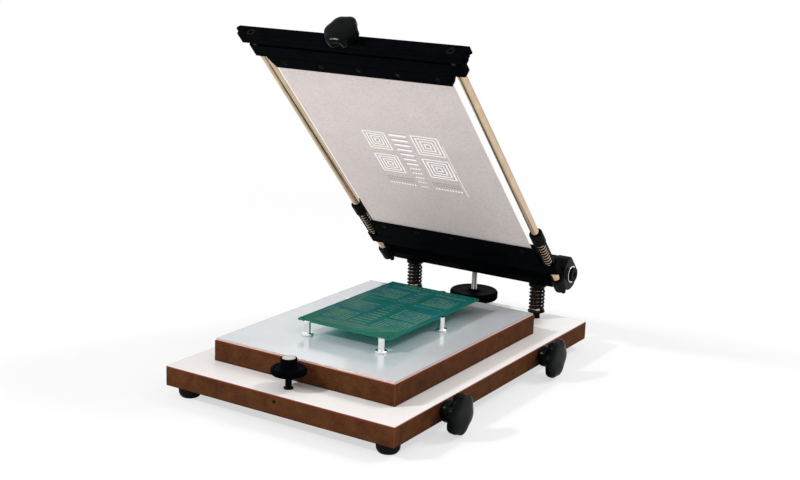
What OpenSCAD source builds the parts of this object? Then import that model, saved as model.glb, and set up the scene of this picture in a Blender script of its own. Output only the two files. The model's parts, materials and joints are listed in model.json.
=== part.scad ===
// Tabletop stencil printing press for circuit boards, shown with its frame raised.
// Millimetres, +Z up, +X to the right, -Y to the front where the operator stands.
// The origin is the middle of the whole press's footprint box, on the surface that the feet stand on.
// The modules are drawn about the base board's centre, and centred() moves them to that origin.

/* [Base] */
// Width of the base board
base_w = 240; // [220:1:300]
// Depth of the base board
base_d = 360; // [352:1:420]
// Thickness of the base board without its laminate
base_board_t = 17.2; // [16:0.1:25]
// Thickness of the white laminate on the base board
laminate_t = 0.8; // [0.5:0.1:2]
// Height of a rubber foot
foot_h = 11; // [8:0.5:25]
// Diameter of a foot where it meets the board
foot_top_d = 21; // [16:0.5:30]
// Diameter of a foot where it stands
foot_bottom_d = 18; // [14:0.5:28]
// Distance from a foot's centre to the board's side edges, and to its front edge at the front
foot_inset = 15; // [12:0.5:30]
// Distance from a rear foot's centre to the board's rear edge
rear_foot_inset = 40; // [32:0.5:60]
// Shank diameter of the screw in each foot
foot_screw_d = 4; // [3:0.5:5]
// How far the wood screws reach into the wood
screw_bite = 11; // [8:0.5:12]

/* [Table] */
// Width of the table
table_w = 192; // [170:1:200]
// Distance from the base's front edge back to the table
table_front_gap = 37.5; // [36:0.5:50]
// Distance from the base's rear edge forward to the table
table_rear_gap = 70.5; // [60:0.5:90]
// Thickness of the table's wooden board
table_board_t = 18.7; // [12:0.1:22]
// Thickness of the steel plate on the table
plate_t = 2; // [1:0.1:3]
// How far the plate's edges stay inside the board's
plate_inset = 1; // [0.5:0.1:3]
// Gap under the table in which it glides on the laminate
glide_gap = 0.3; // [0.2:0.05:0.6]
// How far the table can be shifted to each side
table_travel = 8; // [2:0.5:9]

/* [Side screws] */
// Distance from the table's centre forward to the front side screw
side_front_y = 86.5; // [60:0.5:100]
// Distance from the table's centre back to the rear side screw
side_rear_y = 94.5; // [60:0.5:95]
// Height of the side screws above the base board's underside
side_screw_z = 9.5; // [8:0.5:11]
// Diameter of the side screws
side_screw_d = 8; // [6:0.5:8]
// Length of a guide block along its screw
block_l = 20; // [14:1:26]
// Depth of a guide block
block_d = 16; // [13:1:24]
// Distance from the base's centre to the middle of the guide blocks
block_x = 70; // [55:1:75]
// Diameter of the screws that hold a guide block
block_screw_d = 3; // [2:0.5:4]
// Clearance round a guide block in its pocket
block_gap = 0.5; // [0.3:0.1:1]
// Thickness of the board left under a pocket
pocket_floor = 3; // [2:0.5:4]
// Thickness of the steel bush plate on the base's edge
bush_plate_t = 1.5; // [1:0.1:3]
// Diameter of the steel bush plate
bush_plate_d = 14; // [12:0.5:16]

/* [Star knobs] */
// Diameter of a star knob over its lobes
knob_d = 37; // [30:0.5:40]
// Thickness of a side knob's head
knob_t = 11; // [10:0.5:18]
// Diameter of a star knob's neck
knob_neck_d = 20; // [14:0.5:22]
// Length of a side knob's neck
knob_neck_l = 8; // [3:0.5:10]
// How far a star knob's outer face bulges
knob_crown = 3; // [1:0.25:5]
// Number of lobes on a star knob
knob_lobes = 6; // [5:1:8]
// Diameter of the tension knob over its lobes
tension_knob_d = 34; // [28:0.5:38]
// Thickness of the tension knob's head
tension_knob_t = 13; // [10:0.5:16]
// Length of the tension knob's neck
tension_neck_l = 2; // [1:0.5:6]

/* [Front stop] */
// Distance from the front stop to the base's front edge
stop_inset = 20; // [18.5:0.5:24]
// Diameter of the stop's threaded stem
stop_stem_d = 6; // [5:0.5:8]
// Diameter of the flanged bush in which the stem turns
stop_bush_d = 8.5; // [8.5:0.5:12]
// Height of the bush's flange on the laminate
stop_bush_h = 1.2; // [0.6:0.2:3]
// Diameter of the stop's hand wheel
stop_wheel_d = 33; // [24:0.5:35]
// Thickness of the stop's hand wheel at its rim
stop_wheel_t = 6; // [4:0.5:9]
// Height from the laminate to the hand wheel's underside
stop_wheel_gap = 13.5; // [6:0.5:16]
// Diameter of the boss on the hand wheel
stop_boss_d = 14.5; // [13.5:0.5:18]
// Height of the boss on the hand wheel
stop_boss_h = 8; // [4:0.5:9]
// Diameter of the pale pad on which the frame comes down
stop_pad_d = 11.5; // [9:0.5:12]
// How far the pad stands out of the boss
stop_pad_h = 0.4; // [0.2:0.1:2]
// How far the stop can be screwed up
stop_up = 3.8; // [1:0.1:3.8]
// How far the stop can be screwed down
stop_down = 3; // [1:0.5:4]

/* [Posts and beam] */
// Distance from the base's rear edge forward to the posts and the hinge
post_inset = 20; // [18:0.5:24]
// Distance from the middle to each post
post_x = 73; // [60:0.5:74]
// Diameter of a post
post_d = 10; // [8:0.5:12]
// Diameter of a post's black foot
post_foot_d = 8; // [6:0.5:9]
// Height of a post's black foot
post_foot_h = 6.5; // [4:0.5:9]
// Height of the hinge axis above the laminate
hinge_rise = 52; // [50:0.5:54]
// Thickness of the friction washers between the beam and the hinge hubs
friction_washer_t = 2; // [1:0.5:4]
// Height and depth of the hinge beam
beam_size = 30; // [26:0.5:30]
// Chamfer on the beam's long edges
beam_chamfer = 8; // [6.5:0.5:9]
// Diameter of a post bush
bush_d = 14; // [13.5:0.5:15]
// Diameter of the flange under a post bush
bush_flange_d = 18; // [16:0.5:22]
// Thickness of the flange under a post bush
bush_flange_t = 4; // [2:0.5:5]
// Diameter of the height screw
height_screw_d = 6; // [5:0.5:8]
// Diameter of the knurled wheel on the height screw
height_wheel_d = 50; // [40:1:54]
// Thickness of the knurled wheel
height_wheel_t = 9; // [6:0.5:12]
// Height from the laminate to the knurled wheel's underside
height_wheel_gap = 7.5; // [4:0.5:9]
// Number of grooves in the wheel's knurled rim
knurl_count = 48; // [24:4:60]
// Depth of a knurl groove
knurl_depth = 0.9; // [0.4:0.1:1.2]
// How far the beam can be raised
beam_up = 5; // [2:0.5:6]

/* [Frame] */
// Angle of the raised frame above level
tilt = 46.2; // [20:0.1:80]
// Distance from the middle to each rod
rod_x = 102; // [101:0.5:104]
// Diameter of a rod
rod_d = 8; // [6:0.5:9]
// How far the rods lie below the hinge axis when the frame is level
rod_drop = 14.4; // [13:0.1:15]
// Diameter of the lobed hinge hubs
hub_d = 39; // [36:0.5:40]
// Thickness of a hinge hub
hub_t = 14; // [12:0.5:15]
// Distance from the hinge axis to the rear rail along the rods
rear_rail_u = 25; // [24:0.5:30]
// Depth of a rail along the rods
rail_depth = 14; // [12:0.5:16]
// Height of a rail above the rods' axis
rail_above = 6.2; // [5.5:0.1:8]
// Depth of a rail below the rods' axis
rail_below = 4.4; // [4.2:0.1:4.6]
// How far the rails reach outside the rods' axes
rail_reach = 7; // [5.5:0.1:8]
// Distance from the front stop's axis to the front rail's rear face when the frame is down
rail_over_stop = 5; // [4:0.5:8]
// Gap between the front rail and the outer bar
tension_gap = 2.5; // [2.5:0.1:6]
// Depth of the outer bar along the rods
outer_bar_depth = 11; // [9:0.5:14]
// Width of the outer bar
outer_bar_w = 231; // [222:1:234]
// Width over the lip of the outer bar
outer_lip_w = 239; // [236:1:244]
// Size of the lip's square section
outer_lip = 5.2; // [3:0.1:6]
// How far the stencil can be pulled towards the front
tension_in = 2; // [0.5:0.1:2]
// How far the stencil can slacken towards the hinge
tension_out = 2; // [0.5:0.1:3]
// Diameter of the tension screw
tension_screw_d = 8; // [6:0.5:8]

/* [Stencil] */
// Distance from the clamp jaws' ends to the foil's edges
foil_inset = 3; // [1:0.5:15]
// Thickness of the stencil foil
foil_t = 0.3; // [0.1:0.05:0.5]
// How far the foil's middle lies below the rods' axis
foil_drop = 2.4; // [2:0.1:3]
// Gap between the rods and the clamp jaws
jaw_rod_gap = 3.5; // [2:0.5:10]
// Length of the rear jaws past the rear rail
rear_jaw_l = 25.5; // [15:0.5:35]
// Length of the front jaws past the front rail
front_jaw_l = 13.5; // [12:0.5:20]
// Thickness of the upper jaws above the foil
upper_jaw_t = 4.2; // [3:0.1:5]
// How far the foil reaches into the jaws
foil_grip = 11.5; // [8:0.5:12]
// Number of screws in each clamp
clamp_screw_count = 5; // [3:1:7]
// Shank diameter of a clamp screw
clamp_screw_d = 3; // [2:0.5:4]

/* [Springs] */
// Outer diameter of a post spring
post_spring_d = 16.6; // [14:0.1:17]
// Wire diameter of a post spring
post_wire_d = 2; // [1:0.1:2.2]
// Turns of a post spring
post_spring_turns = 5.5; // [3:0.5:7]
// Outer diameter of a rod spring
rod_spring_d = 11.6; // [11:0.1:13]
// Wire diameter of a rod spring
rod_wire_d = 1.3; // [0.8:0.1:1.6]
// Turns of a rod spring
rod_spring_turns = 9.5; // [5:0.5:11]
// Length of a rod spring
rod_spring_l = 35; // [25:0.5:45]
// Length of the collar above a rod spring
collar_l = 14.5; // [8:0.5:20]
// Diameter of the collar above a rod spring
collar_d = 13; // [12:0.5:15]

/* [Circuit board] */
// Width of the circuit board
board_w = 100; // [80:1:110]
// Depth of the circuit board
board_d = 160; // [120:1:165]
// Thickness of the circuit board
board_t = 1.6; // [0.8:0.1:1.8]
// Distance from the table's centre right to the board's centre
board_x = 1.5; // [-8:0.5:8]
// Distance from the table's centre back to the board's centre
board_back = 13.5; // [0:0.5:20]
// Height of the support pins under the board
pin_h = 12; // [8:0.1:12]
// Diameter of a pin's shaft
pin_d = 6; // [4.5:0.5:8]
// Diameter of a pin's magnetic foot
pin_foot_d = 11.5; // [10:0.5:16]
// Thickness of a pin's magnetic foot
pin_foot_t = 2.2; // [1:0.1:4]
// How far a pin's axis stands outside the board's edge
pin_outset = 1; // [0.5:0.1:1.5]
// Height of the ledge beside the board's edge
pin_ledge = 1.2; // [0.5:0.1:1.4]

/* [Fits] */
// Clearance between a shaft or rod and its running bore, on the radius
running_gap = 0.05; // [0.02:0.01:0.1]
// Gap left between pieces that move past each other
move_gap = 0.3; // [0.3:0.05:0.5]

/* [Hidden] */

$fn = 64;
eps = 0.01;

base_z = foot_h;
laminate_z = base_z + base_board_t;
top_z = laminate_z + laminate_t;
table_z = top_z + glide_gap;
plate_z = table_z + table_board_t;
table_top = plate_z + plate_t;
hinge_z = top_z + hinge_rise;

table_d = base_d - table_front_gap - table_rear_gap;
table_y = (table_front_gap - table_rear_gap)/2;
board_y = table_y + board_back;

side_axis_z = base_z + side_screw_z;
side_ys = [table_y - side_front_y, table_y + side_rear_y];
block_base_z = base_z + pocket_floor + move_gap;
block_screw_z = side_axis_z + side_screw_d/2 + 1.2;
pocket_l = block_l + 2*table_travel + 2*block_gap;
side_screw_start = block_x - pocket_l/2 + block_gap;

post_y = base_d/2 - post_inset;
stop_y = stop_inset - base_d/2;
front_rail_u = post_y - stop_y - rail_over_stop;
stop_wheel_z = top_z + stop_wheel_gap;
stop_boss_top = stop_wheel_z + stop_wheel_t + stop_boss_h;

post_shoulder_z = top_z + post_foot_h;
washer_t = 1.2;
spring_turn = 150;
washer_d = post_spring_d + 0.8;
beam_z = hinge_z - beam_size/2;
bush_z = beam_z - bush_flange_t;
post_top = hinge_z + beam_size/2 - 2;
post_spring_z = post_shoulder_z + washer_t;
post_spring_l = bush_z - move_gap - post_spring_z;
wheel_z = top_z + height_wheel_gap;
height_screw_top = hinge_z + beam_size/2 - 6;
seat_d = 14;
seat_t = 5;

pivot_shank_d = 8;
pivot_depth = 12;
pivot_head_d = 11;
pivot_head_t = 2.6;
pivot_ring_d = 17;
pivot_ring_t = 1.2;
friction_washer_d = 22;
hub_in = rod_x - hub_t/2;
hub_out = rod_x + hub_t/2;
beam_w = 2*(hub_in - friction_washer_t);
jaw_w = 2*(rod_x - rod_d/2 - jaw_rod_gap);
foil_w = jaw_w - 2*foil_inset;
rod_embed = 3;
hub_boss_d = rod_d + 5;

collar_u = rear_rail_u + rail_depth + rod_spring_l;
outer_bar_u = front_rail_u + rail_depth + tension_gap;
outer_face_u = outer_bar_u + outer_bar_depth;
rod_seat = 6;
rod_screw_d = 5;
rod_screw_head_d = 8.5;
rod_screw_head_t = 3;
rail_w = 2*(rod_x + rail_reach);
foil_rear_u = rear_rail_u + rail_depth + rear_jaw_l - foil_grip;
foil_front_u = front_rail_u - front_jaw_l + foil_grip;
tension_axis_w = (rail_above - rail_below)/2;
screw_head_d = 2*clamp_screw_d;
screw_head_t = 1;
clamp_pitch = (jaw_w - 30)/(clamp_screw_count - 1);

board_z = table_top + pin_h;

knob_face_x = base_w/2 + bush_plate_t + move_gap + knob_neck_l + knob_t;
middle_x = (knob_face_x - base_w/2)/2;
middle_y = (post_y + height_wheel_d/2 - base_d/2)/2;

// The places of the pins and the way out from the board's edge at each
pin_places = [[-38, -1], [42, -1], [7, 1], [4, 2], [8, 3]];

// A ring of points round a tube's centreline
function ring_points(centre, side_a, side_b, r, sides) =
    [for (k = [0:sides - 1]) centre + r*cos(360*k/sides)*side_a + r*sin(360*k/sides)*side_b];

// The centreline of a spring along +Z: one straight step, the turns, one straight step
function spring_path(length, coil_r, wire, turns) =
    let (rings = 8*turns, climb = length - 2*wire)
    concat([[coil_r, 0, 0]],
        [for (k = [0:rings]) [coil_r*cos(45*k), coil_r*sin(45*k), wire + climb*k/rings]],
        [[coil_r*cos(45*rings), coil_r*sin(45*rings), length]]);

// The direction in which a path runs at one of its points
function path_way(path, k) =
    let (last = len(path) - 1)
    (k == 0 || k == last) ? [0, 0, 1]
        : let (way = path[min(k + 1, last)] - path[max(k - 1, 0)]) way/norm(way);

// The least gap between turns, measured on the path's points
function least_gap(path, wire) =
    min([for (i = [0:len(path) - 8]) for (j = [i + 7:len(path) - 1]) norm(path[i] - path[j])]) - wire;

// One unbroken tube wound into a coil spring that stands on z = 0
module coil_spring(length, outer_d, wire, turns) {
    sides = 6;
    path = spring_path(length, (outer_d - wire)/2, wire, turns);
    last = len(path) - 1;
    points = [for (k = [0:last])
        let (out = [path[k][0], path[k][1], 0]/norm([path[k][0], path[k][1]]))
        each ring_points(path[k], out, cross(path_way(path, k), out), wire/2, sides)];
    walls = [for (k = [0:last - 1]) for (s = [0:sides - 1])
        let (a = k*sides + s, b = k*sides + (s + 1)%sides)
        each [[a, a + sides, b], [b, a + sides, b + sides]]];
    first_cap = [for (s = [1:sides - 2]) [0, s, s + 1]];
    last_cap = [for (s = [1:sides - 2]) [last*sides, last*sides + s + 1, last*sides + s]];
    polyhedron(points = points, faces = concat(walls, first_cap, last_cap), convexity = 10);
}

// A cylinder along +X whose near end lies at x
module x_cylinder(x, y, z, d, l) {
    translate([x, y, z]) rotate([0, 90, 0]) cylinder(d = d, h = l);
}

// A cylinder along the rods, from u to u + l in front of the hinge axis
module rod_cylinder(x, w, u, d, l) {
    translate([x, -u, w]) rotate([90, 0, 0]) cylinder(d = d, h = l);
}

// A bar across the frame, from u to u + depth and from w up to w + height
module cross_bar(width, u, depth, w, height) {
    translate([-width/2, -u - depth, w]) cube([width, depth, height]);
}

// Moves a piece drawn about the base board's centre to the middle of the footprint box
module centred() {
    translate([-middle_x, -middle_y, 0]) children();
}

// Puts the level frame, with its hinge axis at the origin, at its place and tilt
module in_frame() {
    translate([0, post_y, hinge_z]) rotate([-tilt, 0, 0]) children();
}

// The outline of a lobed knob
module lobed_outline(d, lobes) {
    lobe_r = 0.19*d;
    circle(r = 0.4*d);
    for (k = [0:lobes - 1]) rotate(360*k/lobes) translate([d/2 - lobe_r, 0]) circle(r = lobe_r);
}

// A lobed head with rounded rims that stands on z = 0 and bulges upwards
module lobed_head(d, t, lobes, crown, rim) {
    sphere_r = (d*d/4 + crown*crown)/(2*crown);
    intersection() {
        linear_extrude(t) lobed_outline(d, lobes);
        rotate_extrude($fn = 96) intersection() {
            hull() {
                square([d/2 - rim, t]);
                translate([0, rim]) square([d/2, t - 2*rim]);
                translate([d/2 - rim, rim]) circle(r = rim, $fn = 32);
                translate([d/2 - rim, t - rim - crown/2]) circle(r = rim, $fn = 32);
            }
            translate([0, t - sphere_r]) circle(r = sphere_r, $fn = 360);
            square([d, t]);
        }
    }
}

// A star knob on its neck, standing on z = 0, with a blind bore for its screw
module star_knob(d, t, neck_l, bore_d) {
    difference() {
        union() {
            cylinder(d = knob_neck_d, h = neck_l + 2);
            translate([0, 0, neck_l]) lobed_head(d, t, knob_lobes, knob_crown, 2.4);
        }
        translate([0, 0, -eps]) cylinder(d = bore_d, h = neck_l + t/2 + eps);
    }
}

module at_feet() {
    for (sx = [-1, 1]) for (y = [foot_inset - base_d/2, base_d/2 - rear_foot_inset])
        translate([sx*(base_w/2 - foot_inset), y, 0]) children();
}

module base_board() {
    color("sienna") difference() {
        translate([-base_w/2, -base_d/2, base_z]) cube([base_w, base_d, base_board_t]);
        for (y = side_ys) {
            translate([block_x - pocket_l/2, y - block_d/2 - block_gap, base_z + pocket_floor])
                cube([pocket_l, block_d + 2*block_gap, base_board_t]);
            x_cylinder(block_x, y, side_axis_z, side_screw_d + 2*running_gap, base_w/2);
        }
        for (sx = [-1, 1]) translate([sx*post_x, post_y, base_z + pocket_floor])
            cylinder(d = post_foot_d, h = base_board_t);
        translate([0, post_y, laminate_z - seat_t]) cylinder(d = seat_d, h = seat_t + eps);
        translate([0, post_y, base_z + pocket_floor])
            cylinder(d = height_screw_d + 2*running_gap, h = base_board_t);
        translate([0, stop_y, base_z + pocket_floor])
            cylinder(d = stop_stem_d + 2*running_gap, h = base_board_t);
        translate([0, -base_d/2 - eps, laminate_z - 5.4]) rotate([-90, 0, 0])
            cylinder(d = 4.5, h = stop_inset - stop_stem_d/2 - 3);
        at_feet() translate([0, 0, base_z - eps])
            cylinder(d = foot_screw_d, h = screw_bite + 1 + eps);
    }
}

module base_laminate() {
    color("seashell") difference() {
        translate([-base_w/2, -base_d/2, laminate_z]) cube([base_w, base_d, laminate_t]);
        for (y = side_ys)
            translate([block_x - pocket_l/2, y - block_d/2 - block_gap, laminate_z - eps])
                cube([pocket_l, block_d + 2*block_gap, laminate_t + 2*eps]);
        for (sx = [-1, 1]) translate([sx*post_x, post_y, laminate_z - eps])
            cylinder(d = post_foot_d, h = laminate_t + 2*eps);
        translate([0, post_y, laminate_z - eps]) cylinder(d = seat_d, h = laminate_t + 2*eps);
        translate([0, stop_y, laminate_z - eps])
            cylinder(d = stop_stem_d + 2*running_gap, h = laminate_t + 2*eps);
    }
}

module rubber_feet() {
    color("black") at_feet() difference() {
        rotate_extrude() polygon([[0, 0], [foot_bottom_d/2 - 1, 0], [foot_bottom_d/2, 1],
            [foot_top_d/2, foot_h], [0, foot_h]]);
        translate([0, 0, -eps]) cylinder(d = 2.4*foot_screw_d, h = foot_h/2 + eps);
        cylinder(d = foot_screw_d, h = foot_h + eps);
    }
}

module foot_screws() {
    color("silver") at_feet() {
        translate([0, 0, foot_h/2]) cylinder(d = foot_screw_d, h = foot_h/2 + screw_bite);
        translate([0, 0, foot_h/2 - 2.4]) cylinder(d = 2*foot_screw_d, h = 2.4);
    }
}

module side_bushes() {
    color("dimgray") for (y = side_ys) difference() {
        x_cylinder(base_w/2, y, side_axis_z, bush_plate_d, bush_plate_t);
        x_cylinder(base_w/2 - eps, y, side_axis_z, side_screw_d + 2*running_gap, bush_plate_t + 2*eps);
    }
}

module stop_bush() {
    color("#202020") translate([0, stop_y, top_z]) difference() {
        cylinder(d = stop_bush_d, h = stop_bush_h);
        translate([0, 0, -eps])
            cylinder(d = stop_stem_d + 2*running_gap, h = stop_bush_h + 2*eps);
    }
}

module locking_screw() {
    reach = stop_inset - stop_stem_d/2 - 3;
    color("black") translate([0, -base_d/2 + 5, laminate_z - 5.4]) rotate([-90, 0, 0])
        difference() {
            cylinder(d = 4.5, h = reach - 5 - eps);
            translate([0, 0, -eps]) cylinder(d = 2.4, h = 2.5, $fn = 6);
        }
}

module table_board() {
    color("sienna") difference() {
        translate([-table_w/2, table_y - table_d/2, table_z]) cube([table_w, table_d, table_board_t]);
        for (y = side_ys) for (sx = [-1, 1]) translate([block_x + sx*block_l/4, y, table_z - eps])
            cylinder(d = block_screw_d, h = screw_bite + 1 + eps);
    }
}

module table_plate() {
    color("gainsboro")
        translate([plate_inset - table_w/2, table_y + plate_inset - table_d/2, plate_z])
        cube([table_w - 2*plate_inset, table_d - 2*plate_inset, plate_t]);
}

module guide_blocks() {
    color("darkgoldenrod") for (y = side_ys) difference() {
        translate([block_x - block_l/2, y - block_d/2, block_base_z])
            cube([block_l, block_d, table_z - block_base_z]);
        x_cylinder(block_x - block_l/2 - eps, y, side_axis_z, side_screw_d + 2*running_gap,
            block_l + 2*eps);
        for (sx = [-1, 1]) translate([block_x + sx*block_l/4, y, block_screw_z])
            cylinder(d = block_screw_d, h = table_z);
    }
}

module block_screws() {
    color("silver") for (y = side_ys) for (sx = [-1, 1])
        translate([block_x + sx*block_l/4, y, block_screw_z])
            cylinder(d = block_screw_d, h = table_z + screw_bite - block_screw_z);
}

module side_screw(y) {
    neck_x = base_w/2 + bush_plate_t + move_gap;
    x_cylinder(side_screw_start, y, side_axis_z, side_screw_d,
        neck_x + knob_neck_l + knob_t/2 - side_screw_start);
}

module side_knob(y, turn) {
    translate([base_w/2 + bush_plate_t + move_gap, y, side_axis_z]) rotate([0, 90, 0]) rotate(turn)
        star_knob(knob_d, knob_t, knob_neck_l, side_screw_d);
}

module side_screw_front() {
    color("silver") side_screw(side_ys[0]);
}

module side_knob_front() {
    color("#181818") side_knob(side_ys[0], 10);
}

module side_screw_rear() {
    color("silver") side_screw(side_ys[1]);
}

module side_knob_rear() {
    color("#181818") side_knob(side_ys[1], 28);
}

module stop_stem() {
    seat_z = base_z + pocket_floor + stop_down + move_gap;
    color("#202020") translate([0, stop_y, seat_z])
        cylinder(d = stop_stem_d, h = stop_boss_top - 1 - seat_z);
}

module stop_pad() {
    color("whitesmoke") translate([0, stop_y, stop_boss_top - 1])
        cylinder(d = stop_pad_d, h = 1 + stop_pad_h);
}

module stop_wheel() {
    color("#202020") translate([0, stop_y, stop_wheel_z]) difference() {
        rotate_extrude() polygon([[0, -2], [stop_boss_d/2 - 2, -2], [stop_boss_d/2 + 1, 0],
            [stop_wheel_d/2 - 3, 0], [stop_wheel_d/2 - 0.8, 1], [stop_wheel_d/2, 2.2],
            [stop_wheel_d/2, stop_wheel_t - 1], [stop_wheel_d/2 - 1, stop_wheel_t],
            [stop_boss_d/2, stop_wheel_t], [stop_boss_d/2, stop_wheel_t + stop_boss_h - 0.8],
            [stop_boss_d/2 - 0.8, stop_wheel_t + stop_boss_h], [0, stop_wheel_t + stop_boss_h]]);
        translate([0, 0, -3]) cylinder(d = stop_stem_d + 2*running_gap, h = stop_boss_top);
        translate([0, 0, stop_wheel_t + stop_boss_h - 1 - running_gap])
            cylinder(d = stop_pad_d + 2*running_gap, h = 2);
    }
}

module post(side) {
    translate([side*post_x, post_y, post_shoulder_z])
        cylinder(d = post_d, h = post_top - post_shoulder_z);
}

module left_post() {
    color("tan") post(-1);
}

module right_post() {
    color("tan") post(1);
}

module post_feet() {
    foot_start = base_z + pocket_floor;
    color("#181818") for (sx = [-1, 1]) translate([sx*post_x, post_y, foot_start])
        cylinder(d = post_foot_d, h = post_shoulder_z - foot_start);
}

module spring_washers() {
    color("#181818") for (sx = [-1, 1]) translate([sx*post_x, post_y, post_shoulder_z])
        difference() {
            cylinder(d = washer_d, h = washer_t);
            translate([0, 0, -eps]) cylinder(d = post_d, h = washer_t + 2*eps);
        }
}

module post_spring(side, turn) {
    translate([side*post_x, post_y, post_spring_z]) rotate(turn)
        coil_spring(post_spring_l, post_spring_d, post_wire_d, post_spring_turns);
}

module left_post_spring() {
    color("#202020") post_spring(-1, spring_turn);
}

module right_post_spring() {
    color("#202020") post_spring(1, spring_turn);
}

module hinge_beam() {
    half = beam_size/2;
    flat = half - beam_chamfer;
    color("#141414") difference() {
        translate([-beam_w/2, post_y, hinge_z]) rotate([90, 0, 90]) linear_extrude(beam_w)
            polygon([[-half, -flat], [-flat, -half], [flat, -half], [half, -flat],
                [half, flat], [flat, half], [-flat, half], [-half, flat]]);
        for (sx = [-1, 1]) {
            translate([sx*post_x, post_y, beam_z - eps]) cylinder(d = bush_d, h = beam_size + 2*eps);
            x_cylinder(sx*(beam_w/2 - pivot_depth/2) - pivot_depth/2 - eps, post_y, hinge_z,
                pivot_shank_d, pivot_depth + 2*eps);
        }
        translate([0, post_y, beam_z - eps])
            cylinder(d = height_screw_d + 2*running_gap, h = beam_size + 2*eps);
    }
}

module post_bushes() {
    color("#101010") for (sx = [-1, 1]) translate([sx*post_x, post_y, bush_z]) difference() {
        union() {
            cylinder(d = bush_flange_d, h = bush_flange_t);
            cylinder(d = bush_d, h = bush_flange_t + beam_size);
        }
        translate([0, 0, -eps])
            cylinder(d = post_d + 2*running_gap, h = bush_flange_t + beam_size + 2*eps);
    }
}

module pivot_screws() {
    head_x = hub_out + pivot_ring_t;
    shank_start = beam_w/2 - pivot_depth;
    color("#141414") for (side = [0, 1]) mirror([side, 0, 0]) difference() {
        union() {
            x_cylinder(shank_start, post_y, hinge_z, pivot_shank_d, head_x - shank_start + 0.5);
            x_cylinder(head_x, post_y, hinge_z, pivot_head_d, pivot_head_t);
        }
        translate([head_x + pivot_head_t - 1.6, post_y, hinge_z]) rotate([0, 90, 0])
            cylinder(d = 5.6, h = 2, $fn = 6);
    }
}

module pivot_rings() {
    color("gainsboro") for (side = [0, 1]) mirror([side, 0, 0]) difference() {
        x_cylinder(hub_out, post_y, hinge_z, pivot_ring_d, pivot_ring_t);
        x_cylinder(hub_out - eps, post_y, hinge_z, pivot_shank_d, pivot_ring_t + 2*eps);
    }
}

module friction_washers() {
    color("dimgray") for (side = [0, 1]) mirror([side, 0, 0]) difference() {
        x_cylinder(beam_w/2, post_y, hinge_z, friction_washer_d, hub_in - beam_w/2 - eps);
        x_cylinder(beam_w/2 - eps, post_y, hinge_z, pivot_shank_d, hub_in - beam_w/2 + 2*eps);
    }
}

module height_screw() {
    screw_start = base_z + pocket_floor + move_gap;
    color("silver") translate([0, post_y, screw_start])
        cylinder(d = height_screw_d, h = height_screw_top - screw_start);
}

module height_wheel() {
    wheel_r = height_wheel_d/2;
    hub_r = 8;
    color("#141414") translate([0, post_y, 0]) difference() {
        union() {
            translate([0, 0, wheel_z]) intersection() {
                linear_extrude(height_wheel_t) polygon([for (k = [0:2*knurl_count - 1])
                    let (r = wheel_r - (k%2)*knurl_depth, a = 180*k/knurl_count) [r*cos(a), r*sin(a)]]);
                rotate_extrude() polygon([[0, 0], [wheel_r - 1.6, 0], [wheel_r + 0.1, 1.7],
                    [wheel_r + 0.1, height_wheel_t - 1.7], [wheel_r - 1.6, height_wheel_t],
                    [0, height_wheel_t]]);
            }
            translate([0, 0, top_z + move_gap]) cylinder(r = hub_r, h = wheel_z - top_z - move_gap + 1);
            translate([0, 0, wheel_z]) cylinder(r = hub_r - 1, h = height_wheel_t + 1.2);
        }
        translate([0, 0, top_z]) cylinder(d = height_screw_d, h = hinge_z);
    }
}

module screw_seat() {
    color("darkgoldenrod") translate([0, post_y, laminate_z - seat_t]) difference() {
        cylinder(d = seat_d, h = seat_t + laminate_t);
        translate([0, 0, -eps])
            cylinder(d = height_screw_d + 2*running_gap, h = seat_t + laminate_t + 2*eps);
    }
}

// A hinge hub: a lobed disc that turns on the pivot screw and holds the end of a rod
module hub(side) {
    spacing_gap = running_gap;
    in_frame() mirror([side < 0 ? 1 : 0, 0, 0]) difference() {
        union() {
            intersection() {
                translate([hub_in + spacing_gap, 0, 0]) rotate([0, 90, 0]) rotate(8)
                    lobed_head(hub_d, hub_t - 2*spacing_gap, knob_lobes, 0.6, 1.6);
                translate([hub_in, -hub_d, -hub_d]) cube([hub_t, 2*hub_d, 2*hub_d]);
            }
            rod_cylinder(rod_x, -rod_drop, -rod_embed - 2, hub_boss_d, rod_embed + 2 + hub_d/3);
        }
        x_cylinder(hub_in - 1, 0, 0, pivot_shank_d + 2*running_gap, hub_t + 2);
        rod_cylinder(rod_x, -rod_drop, -rod_embed, rod_d, hub_d);
    }
}

module left_hub() {
    color("#161616") hub(-1);
}

module right_hub() {
    color("#161616") hub(1);
}

module rod(side) {
    in_frame() difference() {
        rod_cylinder(side*rod_x, -rod_drop, -rod_embed, rod_d, outer_bar_u + rod_seat + rod_embed);
        rod_cylinder(side*rod_x, -rod_drop, outer_bar_u + rod_seat - 10, rod_screw_d, 10 + eps);
    }
}

module left_rod() {
    color("tan") rod(-1);
}

module right_rod() {
    color("tan") rod(1);
}

module outer_bar() {
    low = -rod_drop - rail_below;
    high = -rod_drop + rail_above;
    color("#141414") in_frame() difference() {
        union() {
            cross_bar(outer_bar_w, outer_bar_u, outer_bar_depth, low, high - low);
            cross_bar(outer_lip_w, outer_face_u - outer_lip, outer_lip, high - outer_lip, outer_lip);
        }
        for (sx = [-1, 1]) {
            rod_cylinder(sx*rod_x, -rod_drop, outer_bar_u - eps, rod_d, rod_seat + eps);
            rod_cylinder(sx*rod_x, -rod_drop, outer_bar_u, rod_screw_d, outer_bar_depth + eps);
            rod_cylinder(sx*rod_x, -rod_drop, outer_face_u - rod_screw_head_t, rod_screw_head_d,
                rod_screw_head_t + eps);
        }
        rod_cylinder(0, -rod_drop + tension_axis_w, outer_bar_u - eps,
            tension_screw_d + 2*running_gap, outer_bar_depth + 2*eps);
    }
}

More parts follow.
